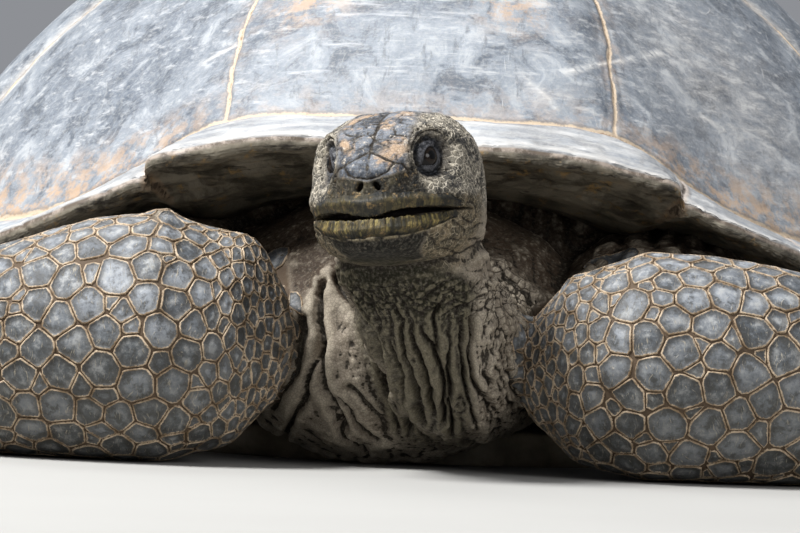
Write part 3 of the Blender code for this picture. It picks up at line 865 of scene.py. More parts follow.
def scratches(p, density, turn, place):
    """Thin light lines that lie roughly one way."""
    lines = p.noise(1.0, 2.0, 0.5, p.stretched((260, 12, 12), turn, place))
    patch = p.noise(9.0, 2.0, 0.5, p.stretched((1, 1, 1), turn))
    return p.calc("MULTIPLY", p.ramp(lines, 0.70, 0.80), p.ramp(patch, 0.62 - 0.2 * density, 0.70))


def plastron_paint():
    """Yellow-brown horn of the underside, with dark seams."""
    p = Paint("plastron_horn", 0.6, 0.35)
    mottle = p.noise(16.0, 5.0, 0.6)
    colour = p.mix(p.ramp(mottle, 0.35, 0.65), (0.14, 0.11, 0.075), (0.33, 0.28, 0.20))
    colour = p.over(colour, (0.06, 0.045, 0.03), p.value("seam"), 0.001, 0.004, 0.85, 0.0)
    return p.finish(colour, p.bump(p.noise(140.0, 4.0, 0.6), 0.0008, 0.5))


def skin_paint():
    """Leathery skin with painted shade in its creases, painted highlights on its folds and a coarser head;
    the throat and the skin under the shell carry painted shade as well.
    """
    p = Paint("tortoise_skin", 0.68, 0.16)
    cavity = p.value("cavity")
    mottle = p.noise(24.0, 5.0, 0.6)
    fine = p.noise(420.0, 4.0, 0.65)
    pores = p.cell_border(430.0)
    bent = p.bent(0.004, 90.0)
    leather = p.cell_border(125.0, bent)
    colour = p.mix(p.ramp(mottle, 0.36, 0.64), (0.185, 0.152, 0.115), (0.330, 0.285, 0.225))
    # Painted shade: the skin set back under the front of the shell and high under its rim is painted near
    # black.
    colour = p.mix(p.value("dark"), colour, (0.052, 0.035, 0.023))
    # Painted highlight: the ridges of the folds are painted paler.
    colour = p.over(colour, (0.44, 0.385, 0.30), cavity, 0.10, 0.85, 0.0, 0.60)
    cracks = p.calc("MULTIPLY", p.value("leather"), p.ramp(leather, 0.08, 0.01, 0.0, 0.7))
    colour = p.mix(cracks, colour, (0.035, 0.026, 0.018))
    colour = head_colours(p, colour)
    # Painted shadow of the head on the throat and under the jaw, near black.
    colour = p.mix(p.value("shade"), colour, (0.013, 0.0125, 0.0055))
    # Painted highlight: the ridges of the folds inside that painted shadow are lighter.
    edges = p.calc("MULTIPLY", p.value("shade"), p.ramp(cavity, 0.10, 0.8, 0.0, 0.60))
    colour = p.mix(edges, colour, (0.19, 0.165, 0.11))
    # Painted shade: the creases are painted near black.
    colour = p.over(colour, (0.012, 0.009, 0.006), cavity, -0.04, -0.45, 0.0, 0.95)
    colour = p.over(colour, (0.42, 0.37, 0.29), fine, 0.45, 0.75, 0.0, 0.25)
    colour = p.over(colour, (0.030, 0.023, 0.016), pores, 0.02, 0.14, 0.35, 0.0)
    colour = p.mix(p.value("groove"), colour, (0.090, 0.062, 0.040))
    colour = p.mix(p.value("lid"), colour, lid_colour(p, fine, pores))
    # Painted shade: the slit between the jaws and the nostril holes are painted near black.
    colour = p.mix(p.value("mouth"), colour, (0.008, 0.005, 0.004))
    normal = p.bump(pores, 0.0006, 0.5)
    normal = p.bump(fine, 0.0006, 0.5, normal)
    net = p.calc("MULTIPLY", p.value("temple"), p.ramp(p.cell_border(215.0, bent), 0.0, 0.12, 1.0, 0.0))
    folds = p.calc("MULTIPLY", p.value("leather"), p.ramp(leather, 0.0, 0.14))
    normal = p.bump(p.calc("SUBTRACT", folds, net), 0.0016, 0.6, normal)
    rough_share = p.ramp(p.value("lid"), 0.0, 1.0, 0.66, 0.34)
    return p.finish(colour, normal, rough_share)


def lid_colour(p, fine, pores):
    """Near-black lids with a painted highlight, grey, on the swellings of their folds."""
    lid = p.mix(p.ramp(fine, 0.42, 0.70), (0.009, 0.010, 0.012), (0.050, 0.054, 0.062))
    # Painted highlight on the ridges of the lids' folds.
    lid = p.over(lid, (0.13, 0.13, 0.14), p.value("cavity"), 0.05, 0.7, 0.0, 0.6)
    return p.mix(p.ramp(pores, 0.02, 0.12, 0.6, 0.0), lid, (0.006, 0.006, 0.007))


def head_colours(p, colour):
    """The head's plates, temples, snout, cheeks and chin, each by its own mask."""
    blotch = p.noise(75.0, 6.0, 0.68)
    fleck = p.noise(190.0, 5.0, 0.72)
    bent = p.bent(0.004, 90.0)
    edge = p.cell_border(215.0, bent)
    patches = p.noise(42.0, 6.0, 0.62, distortion=0.5)
    temple = p.mix(p.ramp(blotch, 0.40, 0.60), (0.026, 0.027, 0.028), (0.175, 0.160, 0.130))
    temple = p.over(temple, (0.42, 0.375, 0.29), fleck, 0.50, 0.64, 0.0, 0.8)
    net = p.ramp(edge, 0.12, 0.010, 0.0, 0.9)
    temple = p.mix(p.calc("MULTIPLY", net, p.ramp(blotch, 0.36, 0.52)), temple, (0.60, 0.54, 0.44))
    colour = p.mix(p.value("temple"), colour, temple)
    crown = p.mix(p.ramp(blotch, 0.40, 0.60), (0.034, 0.042, 0.056), (0.165, 0.182, 0.210))
    crown = p.over(crown, (0.42, 0.29, 0.180), patches, 0.51, 0.60, 0.0, 0.80)
    crown = p.over(crown, (0.58, 0.51, 0.42), fleck, 0.56, 0.68, 0.0, 0.80)
    crown = p.over(crown, (0.018, 0.020, 0.025), fleck, 0.44, 0.34, 0.0, 0.80)
    colour = p.mix(p.value("crown"), colour, crown)
    colour = p.mix(p.value("snout"), colour, snout_colour(p, blotch, fleck))
    cheek = p.mix(p.ramp(blotch, 0.40, 0.62), (0.040, 0.034, 0.022), (0.200, 0.155, 0.095))
    cheek = p.over(cheek, (0.40, 0.34, 0.24), edge, 0.06, 0.01, 0.0, 0.7)
    cheek = p.over(cheek, (0.022, 0.019, 0.013), fleck, 0.46, 0.36, 0.0, 0.8)
    colour = p.mix(p.value("cheek"), colour, cheek)
    streak = p.noise(1.0, 4.0, 0.6, p.stretched((420, 420, 45)))
    chin = p.mix(p.ramp(streak, 0.42, 0.75), (0.004, 0.004, 0.003), (0.026, 0.026, 0.021))
    colour = p.mix(p.value("chin"), colour, chin)
    colour = p.mix(p.value("pale"), colour, (0.46, 0.38, 0.24))
    return p.mix(p.value("line"), colour, (0.016, 0.013, 0.010))


def snout_colour(p, blotch, fleck):
    """Dark snout, flecked with tan."""
    snout = p.mix(p.ramp(blotch, 0.40, 0.62), (0.009, 0.010, 0.010), (0.055, 0.047, 0.028))
    return p.mix(p.ramp(fleck, 0.55, 0.69, 0.0, 0.75), snout, (0.27, 0.18, 0.08))


def scale_paint():
    """Horny scale plates: grey-blue and scratched, with painted shade low down and a raised tan rim,
    partly dust and partly a painted edge highlight.
    """
    p = Paint("scale_plates", 0.50, 0.30)
    rim = p.value("rim")
    tone = p.value("tone")
    mottle = p.noise(95.0, 7.0, 0.70)
    grain = p.noise(620.0, 3.0, 0.65)
    # Painted shade: the plates get darker and browner towards the floor.
    low = p.ramp(p.height(), 0.135, 0.040)
    colour = p.mix(p.ramp(tone, 0.0, 1.0), (0.070, 0.079, 0.090), (0.215, 0.232, 0.255))
    colour = p.over(colour, (0.36, 0.365, 0.36), mottle, 0.48, 0.66, 0.0, 0.75)
    colour = p.over(colour, (0.034, 0.034, 0.032), mottle, 0.50, 0.38, 0.0, 0.75)
    colour = p.mix(p.calc("MULTIPLY", low, 0.42), colour, (0.058, 0.054, 0.038))
    bent = p.bent(0.022, 40.0)
    lines = plate_lines(p, (0.4, 0.2, 0.6), bent)
    for turn in ((0.9, -0.5, -0.5), (0.2, 1.3, 1.4)):
        lines = p.calc("MAXIMUM", lines, plate_lines(p, turn, bent))
    colour = p.mix(p.calc("MULTIPLY", lines, 0.6), colour, (0.44, 0.39, 0.30))
    inset = p.calc("ADD", rim, p.ramp(grain, 0.3, 0.7, -0.0005, 0.0005))
    colour = p.over(colour, (0.040, 0.036, 0.030), inset, 0.0055, 0.0030, 0.0, 0.55)
    # The raised rim is painted tan and pale: partly dust, partly a painted edge highlight.
    rim_dust_and_highlight = p.mix(p.ramp(mottle, 0.38, 0.62), (0.20, 0.135, 0.075), (0.54, 0.42, 0.29))
    colour = p.mix(p.ramp(inset, 0.0019, 0.0011, 0.0, 0.90), colour, rim_dust_and_highlight)
    colour = p.over(colour, (0.050, 0.030, 0.015), inset, 0.0004, 0.0, 0.0, 0.9)
    normal = p.bump(mottle, 0.0012, 0.5)
    normal = p.bump(lines, 0.0006, 0.6, normal)
    return p.finish(colour, p.bump(grain, 0.0003, 0.5, normal))


def plate_lines(p, turn, place):
    """Fine scratches on the plates that lie roughly one way."""
    return p.ramp(p.noise(1.0, 3.0, 0.6, p.stretched((620, 110, 110), turn, place)), 0.62, 0.72)


def beak_paint(name, dull):
    """Olive to yellow-brown horn with dark streaks that run to the cutting edge, and dark where
    it grows from the snout. dull is how much of the snout's colour lies over all of it."""
    p = Paint(name, 0.48, 0.22)
    streak = p.calc("ADD", p.value("streak"), p.ramp(p.noise(130.0, 4.0, 0.6), 0.3, 0.7, -0.5, 0.5))
    fine = p.noise(1.0, 5.0, 0.7, p.stretched((700, 700, 80)))
    blotch = p.noise(75.0, 6.0, 0.68)
    fleck = p.noise(190.0, 5.0, 0.72)
    colour = p.mix(p.ramp(blotch, 0.40, 0.62), (0.050, 0.040, 0.014), (0.235, 0.170, 0.055))
    colour = p.over(colour, (0.470, 0.375, 0.130), streak, 0.15, 0.8, 0.0, 0.65)
    colour = p.over(colour, (0.012, 0.011, 0.006), streak, 0.05, -0.4, 0.0, 0.9)
    colour = p.over(colour, (0.024, 0.021, 0.010), fine, 0.56, 0.42, 0.0, 0.8)
    base = p.calc("ADD", p.value("base"), p.ramp(fleck, 0.3, 0.7, -0.3, 0.3))
    colour = p.mix(p.ramp(base, 0.2, 0.7, dull, 1.0), colour, snout_colour(p, blotch, fleck))
    normal = p.bump(fine, 0.0009, 0.7)
    return p.finish(colour, normal)


def eye_paint():
    """A dark wet eye: black pupil, dark brown iris with a paler thread, near-black surround."""
    p = Paint("eye_wet", 0.12, 0.16)
    p.shader.inputs["Coat Weight"].default_value = 0.08
    p.shader.inputs["Coat Roughness"].default_value = 0.03
    off = p.value("off_axis")
    threads = p.noise(600.0, 3.0, 0.6)
    iris = p.mix(threads, (0.007, 0.005, 0.004), (0.022, 0.014, 0.009))
    colour = p.mix(p.ramp(off, 0.27, 0.31), (0.002, 0.002, 0.002), iris)
    colour = p.over(colour, (0.005, 0.004, 0.004), off, 0.50, 0.60)
    return p.finish(colour, p.bump(threads, 0.0001, 0.05))


def claw_paint():
    """Dark fibrous horn, paler towards the tip."""
    p = Paint("claw_horn", 0.42, 0.45)
    fibre = p.noise(1.0, 5.0, 0.65, p.stretched((160, 160, 160)))
    colour = p.mix(p.ramp(fibre, 0.35, 0.68), (0.035, 0.026, 0.018), (0.150, 0.115, 0.078))
    colour = p.over(colour, (0.30, 0.26, 0.20), p.value("tip"), 0.5, 1.0, 0.0, 0.6)
    return p.finish(colour, p.bump(fibre, 0.0007, 0.6))


# Shell


def rim_radius(angle):
    """Radius of the shell's outline from above, a superellipse."""
    along = np.abs(np.cos(angle)) / SHELL_HALF_LENGTH
    across = np.abs(np.sin(angle)) / SHELL_HALF_WIDTH
    return (along**PLAN_POWER + across**PLAN_POWER) ** (-1 / PLAN_POWER)


def dome_height(share, rim_z, seam_z, seam, power):
    """Height of the smooth shell, by the share of the rim's radius."""
    inner = np.minimum(share, seam)
    outer = np.maximum(share - seam, 0) / (1 - seam)
    dome = seam_z + (SHELL_TOP - seam_z) * (1 - (inner / seam) ** power)
    skirt = rim_z + (seam_z - rim_z) * np.maximum(1 - outer, 0) ** 1.1
    return np.where(share <= seam, dome, skirt)


def rim_notches(degrees, left):
    """How the free edge moves outwards and up beside each seam of the marginals."""
    out = np.zeros(len(degrees))
    for place in MARGINAL_SEAMS[2:]:
        out -= 0.0045 * bell(degrees - place, 0.9)
    past = degrees - FRONT_NOTCH
    inside = step(past, 0.30, -0.30)
    out -= 0.005 * bell(past, 0.35)
    out += inside * 0.004 * bell(past + 1.5, 2.5) - (1 - inside) * 0.008 * bell(past, 3.0)
    up = inside * 0.003 * bell(past + 0.8, 1.5) - (1 - inside) * 0.006 * bell(past, 0.9)
    up += np.where(left, 0.0, 0.005) * step(degrees, 34, 16) * step(degrees, 3, 12)
    return out, up


def shell_points(way, along):
    """Points of the carapace in its own frame. along runs 0 to 1 over the dome to the free
    edge, to 1.25 round the lip, to 1.6 under the marginals, and to 2.6 back inside."""
    angle = np.arctan2(way[:, 0], -way[:, 1])
    degrees = np.degrees(np.abs(angle))
    rim_z, seam_z, seam, drop, power = spline(ROUND_THE_RIM, degrees).T
    radius = rim_radius(angle)
    out, up = rim_notches(degrees, angle > 0)
    top = np.clip(along, 0, 1)
    lip = np.clip((along - 1) / 0.25, 0, 1)
    under = np.clip((along - 1.25) / 0.35, 0, 1)
    inside = np.clip(along - 1.6, 0, 1)
    free = step(top, seam + 0.02, 1) * (1 - step(under, 0, 1))
    round_lip = 0.003 * np.sin(math.pi * lip) - 0.002 * lip
    share = np.where(inside > 0, UNDERSIDE_SHARE * (1 - inside), top - (1 - UNDERSIDE_SHARE) * under)
    r = share * radius + out * free + round_lip
    height = dome_height(share, rim_z, seam_z, seam, power)
    edge = rim_z - LIP * (1 - (1 - lip) ** 1.5) - (drop - LIP) * step(under, 0, 1)
    height = np.where(along > 1, edge, height) + up * free
    hollow = SHELL_CENTRE_Z + (height - SHELL_CENTRE_Z) * INNER_SCALE
    height = np.where(inside > 0.02, hollow, height)
    return np.stack([r * way[:, 0], r * way[:, 1], height], axis=1)


def seam_distances(plan, degrees, share, seam, radius):
    """Distances to the nearest seam on the dome and between two marginals, and signed distance
    inwards from the seam above the marginals."""
    x, y = np.abs(plan[:, 0]), plan[:, 1]
    ring = (seam - share) * radius
    nearest = np.abs(ring)
    joint = np.full(len(ring), 0.05)
    for place in MARGINAL_SEAMS:
        slant = 26 * (1 - share) if place == FRONT_NOTCH else 0
        away = np.abs(np.radians(degrees - place - slant)) * radius * share
        joint = np.where(ring < 0, np.minimum(joint, away), joint)
    ys, widths = np.array(VERTEBRAL_WIDTH).T
    width = np.interp(y, ys, widths)
    slope = (np.interp(y + 0.002, ys, widths) - np.interp(y - 0.002, ys, widths)) / 0.004
    away = np.abs(x - width) / np.sqrt(1 + slope**2)
    nearest = np.where(ring > 0, np.minimum(nearest, away), nearest)
    for place in VERTEBRAL_SEAMS:
        away = np.where((x < width) & (ring > 0), np.abs(y - place), 1)
        nearest = np.minimum(nearest, away)
    for inner_y, outer_y in COSTAL_SEAMS:
        line = [(0.10, inner_y), (SHELL_HALF_WIDTH, outer_y)]
        away = line_distance(np.stack([x, y], 1), line)
        nearest = np.where((x > width) & (ring > 0), np.minimum(nearest, away), nearest)
    return nearest, joint, ring


def shell_measures(params):
    """Points of the shell, their distances from its uneven seams, and their place along and
    length of the radius."""
    way = params[:, 3:5] / np.linalg.norm(params[:, 3:5], axis=1)[:, None]
    along = params[:, 5]
    points = shell_points(way, along)
    wobble = np.stack([rough(points + k, 0.05, 40 + k) * 0.0035 for k in (0, 1)], axis=1)
    angle = np.arctan2(way[:, 0], -way[:, 1])
    degrees = np.degrees(np.abs(angle)) + wobble[:, 0] * 90 * step(along, 0.98, 0.9)
    seam = spline(ROUND_THE_RIM, degrees)[:, 2]
    radius = rim_radius(angle)
    share = np.clip(along, 0, 1) + wobble[:, 1] * 0.8
    seams, joint, ring = seam_distances(points[:, :2] + wobble, degrees, share, seam, radius)
    return points, seams, joint, ring, along, radius


def make_carapace(middle):
    """The upper shell, its free edge and its hollow underside."""
    columns = 300
    turn = round_turn(columns)
    rows = np.concatenate(
        [
            np.linspace(0.004, 0.8, 48),
            np.linspace(0.815, 1.0, 16),
            1 + 0.25 * np.linspace(0.12, 1, 8),
            1.25 + 0.35 * np.linspace(0.1, 1, 12),
            1.6 + np.linspace(0.025, 0.995, 24),
        ]
    )
    way = np.stack([np.sin(turn), -np.cos(turn)], axis=1)
    params = np.zeros((len(rows) * columns, 6))
    params[:, 3:5] = np.tile(way, (len(rows), 1))
    params[:, 5] = np.repeat(rows, columns)
    params[:, :3] = shell_points(params[:, 3:5], params[:, 5])
    faces = tube_faces(len(rows), columns)
    params, faces = refined(params, faces, shell_detail, 4)
    points, seams, joint, ring, along, radius = shell_measures(params)
    if np.einsum("ij,ij->i", face_normals(points, faces), points[faces[:, 0]]).sum() < 0:
        faces = faces[:, ::-1]
    top = step(along, 1.12, 1.0)
    hidden = step(along, 1.5, 1.62)
    out = normals(points, faces)
    lift = shell_relief(points, np.minimum(seams, joint), along, radius) * (1 - hidden)
    points = points + out * lift[:, None]
    values = {
        "seam": np.where(along < 1.2, seams, 0.05),
        "joint": np.where(along < 1.5, joint, 0.05),
        "tan": tan_patches(points, ring, seams) * top,
        "worn": worn_edges(points, ring, along, radius, seams) * step(along, 1.3, 1.02),
        "under": step(along, 1.00, 1.12),
        "scar": scar_share(points) * top,
    }
    region = np.where(along > 1.6, 2, np.where(along > 1.1, 1, 0))
    chart = box_charts(points, faces, region, (1.0, 0.8, 0.12))
    piece = build("carapace_horn", points + middle, faces, shell_paint(), values, chart)
    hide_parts("carapace")


def shell_detail(params):
    """Edge lengths: short beside the seams and at the front edge, long inside the shell."""
    points, seams, joint, _, along, _ = shell_measures(params)
    seams = np.minimum(seams, joint)
    length = np.where(seams < 0.009, 0.0020, np.where(seams < 0.02, 0.0045, 0.0075))
    front = (points[:, 1] < -0.30) & (along > 0.86) & (along < 1.6)
    length = np.where(front, np.minimum(length, 0.0028), length)
    return np.where(along > 1.6, 0.05, np.where(along > 1.3, np.maximum(length, 0.006), length))


def shell_relief(points, seams, along, radius):
    """Height of the horn over the smooth shell: grooves, growth rings, dents and a rolled edge."""
    near_edge = (1 - np.clip(along, 0, 1)) * radius
    relief = -0.0013 * bell(seams, 0.0013) + 0.0005 * bell(seams - 0.0040, 0.0020)
    relief -= 0.0030 * bell(seams, 0.020) * step(along, 1.0, 0.9)
    rings = np.cos(2 * math.pi * seams / 0.0085 + 2.5 * noise(points, 0.06, 3))
    relief += 0.00030 * rings * np.exp(-seams / 0.06) * step(along, 1.05, 0.98)
    relief += 0.0026 * rough(points, 0.11, 11) + 0.0013 * rough(points, 0.024, 12, 4)
    lines = np.cos(2 * math.pi * (along - 1.25) / 0.042 + 4 * noise(points, 0.05, 5))
    below = step(along, 1.10, 1.25)
    relief += (0.0010 * lines + 0.0022 * rough(points, 0.030, 19, 4)) * below
    chips = np.minimum(creases(points, 0.022, 17, 1), 0.5) - 0.5
    relief += 0.0030 * chips * bell(near_edge, 0.009)
    return relief + rim_crack(points)


def rim_crack(points):
    """A small split in the left front edge."""
    line = [(0.090, -0.560), (0.108, -0.556), (0.122, -0.549)]
    away = line_distance(points[:, :2], line)
    return -0.0030 * bell(away, 0.0018) * step(points[:, 2], 0.20, 0.215)


def scar_share(points):
    """A few long light scratches on the front of the dome."""
    front_view = points[:, [0, 2]] + 0.002 * noise(points, 0.03, 23)[:, None]
    share = np.zeros(len(points))
    for width, line in SCARS:
        share = np.maximum(share, bell(line_distance(front_view, line), width))
    return share * step(points[:, 1], -0.15, -0.22)


def tan_patches(points, ring, seams):
    """Where the shell shows tan: a band above the marginals, blotches, and beside the seams."""
    side = step(np.abs(points[:, 0]), 0.13, 0.24)
    band = step(ring, 0.042, 0.004) * step(ring, -0.006, 0.002) * (0.25 + 0.75 * side)
    blotches = np.zeros(len(points))
    for x, y, size in TAN_BLOTCHES:
        away = np.hypot(points[:, 0] - x, points[:, 1] - y)
        blotches = np.maximum(blotches, 0.85 * bell(away, size))
    beside = 0.35 * bell(seams, 0.010)
    return np.clip(np.maximum.reduce([band, blotches, beside]), 0, 1)


def worn_edges(points, ring, along, radius, seams):
    """Where the horn is rubbed pale: the free edge, the front marginals' tops, the seams of the
    front costals, and a patch on the left of the front."""
    near_edge = np.abs(1 - along) * radius
    marginal = step(ring, 0.004, -0.012) * 0.45
    front = step(points[:, 1], -0.36, -0.46)
    costal = step(np.abs(points[:, 0]), 0.20, 0.25) * step(np.abs(points[:, 1] + 0.11), 0.10, 0.06)
    beside = 0.9 * bell(seams, 0.011) * costal
    rubbed = 0.45 * bell(np.hypot(points[:, 0] - 0.24, points[:, 1] + 0.30), 0.085)
    return np.clip(0.85 * bell(near_edge, 0.013) + marginal * front + beside + rubbed, 0, 1)


def make_plastron(frame):
    """The under shell, with its seams and rings."""
    points, faces = node_arrays(frame["nodes"]["plastron"])
    points, faces = refined(points, faces, lambda p: np.full(len(p), 0.009), 6)
    flat = points[:, 2] < 0.0005
    points = smoothed(points, faces, 4)
    points[flat, 2] = 0.0
    low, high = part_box("plastron")
    length = high.y - low.y
    seams = np.abs(points[:, 0])
    for share in PLASTRON_SEAMS:
        bend = 0.02 * np.cos(points[:, 0] * 12)
        seams = np.minimum(seams, np.abs(points[:, 1] - low.y - share * length - bend))
    rings = np.cos(2 * math.pi * seams / 0.011)
    lift = -0.0015 * bell(seams, 0.002) + 0.0004 * rings * np.exp(-seams / 0.05)
    lift += 0.0008 * rough(points, 0.03, 61)
    points = points + normals(points, faces) * lift[:, None]
    points[:, 2] = np.maximum(points[:, 2], 0.0)
    points[flat, 2] = 0.0
    chart = box_charts(points, faces, np.zeros(len(points), int), (1.0,))
    piece = build("plastron_horn", points, faces, plastron_paint(), {"seam": seams}, chart)
    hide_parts("plastron")


# Head


def head_matrix(middle):
    """Where the head's own frame lies in the row frame."""
    turn = Matrix.Rotation(HEAD_YAW, 4, "Z") @ Matrix.Rotation(-HEAD_PITCH, 4, "X")
    return Matrix.Translation(HEAD_TIP + middle) @ turn @ Matrix.Rotation(HEAD_ROLL, 4, "Y")


def moved(matrix, points):
    """Points carried through a 4 x 4 matrix."""
    table = np.array(matrix)
    return points @ table[:3, :3].T + table[:3, 3]


def head_loft():
    """The smooth head with both jaws closed, in its own frame."""
    rings, sides = 110, 120
    ys = HEAD_STATIONS[-1][0] * np.linspace(0, 1, rings) ** 1.5
    half, top, bottom, level = (v[:, None] for v in spline(HEAD_STATIONS, ys).T)
    turn = round_turn(sides)
    across, rise = np.cos(turn), np.sin(turn)
    x = half * np.sign(across) * np.abs(across) ** (2 / HEAD_POWER)
    reach = np.where(rise > 0, top - level, level - bottom)
    z = level + reach * np.sign(rise) * np.abs(rise) ** (2 / HEAD_POWER)
    y = np.repeat(ys[:, None], sides, axis=1)
    points = np.stack([x, y, z], axis=2).reshape(-1, 3)
    return points, tube_faces(rings, sides)


def eye_frame(sign):
    """Middle of the eyeball, its gaze, and the long and short axes of the opening."""
    gaze = np.array(EYE_GAZE) * (sign, 1, 1)
    middle = np.array(EYE_PLACE) * (sign, 1, 1)
    long_axis = np.array([0.31 * sign, 0.69, 0.64])
    long_axis -= gaze * (long_axis @ gaze)
    long_axis /= np.linalg.norm(long_axis)
    return middle, gaze, long_axis, np.cross(gaze, long_axis) * sign


def shape_eye(q, sign, lid):
    """Sets an eye's lids round its ball, in a socket with a soft rim."""
    middle, gaze, long_axis, short_axis = eye_frame(sign)
    away = q - middle
    out, a, b = away @ gaze, away @ long_axis, away @ short_axis
    near = (np.hypot(a, b) < 0.036) & (out > -0.004)
    out, a, b = out[near], a[near], b[near]
    above = step(b, -0.002, 0.004)
    ring = np.hypot(a / LID_REACH[0], b / LID_REACH[1])
    opening = np.abs(b) / (EYE_OPENING[1] * (1.05 - 0.15 * above)) + (a / EYE_OPENING[0]) ** 2
    cover = EYE_RADIUS + 0.0005 + 0.0018 * step(opening, 1.0, 2.0) + 0.0008 * above
    bowl = np.sqrt(np.maximum(cover**2 - a**2 - b**2, 0.0062**2))
    bowl += 0.0040 * step(ring, 1.0, 2.0)
    new = out + step(ring, 2.5, 0.8) * (bowl - out)
    new -= 0.0014 * bell(ring - 1.08, 0.10)
    wrinkles = np.cos(2 * math.pi * (ring - 1.36) / 0.30) * bell(ring - 1.5, 0.35)
    new += (0.0003 + 0.0006 * above) * wrinkles
    crumpled = creases(q[near] * (1, 0.8, 1), 0.0042, 62) - 0.6
    new += 0.0013 * crumpled * step(opening, 1.2, 1.7) * step(ring, 2.4, 1.8)
    hole = step(opening, 1.04, 0.90)
    new = new + hole * (0.0035 - new)
    q[near] += (new - out)[:, None] * gaze
    lid[near] = np.maximum(lid[near], step(ring + 0.25 * noise(q[near], 0.006, 60), 1.45, 1.0))
    return q


def shape_nostrils(q, mouth):
    """Two slanted slits in the front of the snout."""
    front = step(q[:, 1], 0.024, 0.012)
    for sign in (-1, 1):
        rise = q[:, 2] - NOSTRIL[1]
        across = (q[:, 0] * sign - NOSTRIL[0]) + 0.35 * rise
        size = np.hypot(across / 0.0024, rise / 0.0034)
        q[:, 1] += front * 0.0060 * step(size, 1.25, 0.60)
        q[:, 1] -= front * 0.0005 * bell(size - 1.9, 0.5)
        # Mask of painted shade in the nostril holes.
        mouth[:] = np.maximum(mouth, front * step(size, 1.15, 0.80))
    return q


def upper_edge(x, y):
    """Height of the upper beak's cutting edge, with its blunt hook in the middle."""
    return -0.0012 + 0.0014 * bell(y - 0.026, 0.016) - 0.0048 * bell(x, 0.0150)


def lower_edge(y):
    """Height of the lower beak's cutting edge."""
    return -0.0016 - 0.092 * np.maximum(MOUTH_CORNER_Y - y * 1.15, 0)


def upper_base(y):
    """Height at which the upper beak grows from the snout."""
    return 0.0105 - 0.06 * y


def lower_base(y):
    """Height at which the lower beak grows from the chin."""
    return -0.0210 + 0.0160 * (np.maximum(y, 0) / 0.050) ** 1.3


def mouth_masks(q):
    """Shares of the slit between the jaws, and of the skin that lies under the beak."""
    y, z = q[:, 1], q[:, 2]
    slit = step(z, lower_edge(y) - 0.0007, lower_edge(y) + 0.0007)
    top = upper_edge(q[:, 0], y)
    slit *= step(z, top + 0.0007, top - 0.0007)
    slit *= step(y, MOUTH_CORNER_Y + 0.003, MOUTH_CORNER_Y - 0.006)
    under = step(z, lower_base(y) + 0.0012, lower_base(y) + 0.0035)
    under *= step(z, upper_base(y) - 0.0015, upper_base(y) - 0.0055)
    under *= step(y, 0.0500, 0.0475)
    return slit, under


def head_masks(q):
    """Colour masks of the head's regions, each from 0 to 1."""
    x, y, z = np.abs(q[:, 0]), q[:, 1], q[:, 2]
    ragged = rough(q, 0.016, 70) * 0.004
    whole = step(y, 0.155, 0.125) * step(z, 0.100, 0.080) * step(x, 0.085, 0.070)
    whole *= step(z, -0.054, -0.046)
    high = step(z + 0.4 * ragged - 0.25 * x, 0.0175, 0.0200)
    crown = whole * high * step(x + ragged, 0.031, 0.022) * step(y, 0.115, 0.085)
    temple = whole * step(z + ragged, -0.006, 0.006) * (1 - crown) * step(y + x * 0.6, 0.024, 0.036)
    snout = whole * step(y + x * 0.5 + ragged, 0.044, 0.030) * step(z, 0.036, 0.030) * (1 - crown)
    snout *= step(z, -0.020, -0.014)
    cheek = whole * step(y, 0.030, 0.042) * step(y, 0.100, 0.070) * step(z + ragged, 0.012, 0.004)
    cheek *= step(z + ragged, -0.034, -0.022)
    chin = whole * step(z, lower_base(y) + 0.003, lower_base(y)) * step(y + ragged, 0.052, 0.044)
    chin *= step(z + 0.4 * ragged - 0.030 * (x / 0.036) ** 2, -0.0520, -0.0480)
    chin *= step(x + ragged, 0.040, 0.033)
    jaw = whole * step(z, lower_base(y) + 0.003, lower_base(y)) * step(y, 0.100, 0.070)
    jaw *= step(z + ragged, -0.049, -0.040)
    cheek = np.maximum(cheek, jaw) * (1 - chin)
    return crown, temple, snout, cheek, chin, whole


def head_lines(q, crown, front):
    """Distance from the seams on the snout, and the share of the dark lines in them and in the
    cracks of the crown."""
    border, _ = cells(q + noise(q, 0.01, 5)[:, None] * 0.002, 0.013, 33)
    x = np.abs(q[:, 0])
    place = np.stack([x + noise(q, 0.006, 8) * 0.0005, q[:, 2] + noise(q, 0.006, 9) * 0.0006], 1)
    seam = np.full(len(q), 1.0)
    for line in SNOUT_SEAMS:
        seam = np.minimum(seam, line_distance(place, line))
    crack = crown * step(q[:, 2], 0.038, 0.044) * bell(border, 0.0006)
    return seam, np.clip(np.maximum(front * bell(seam, 0.0008), 0.7 * crack), 0, 1)


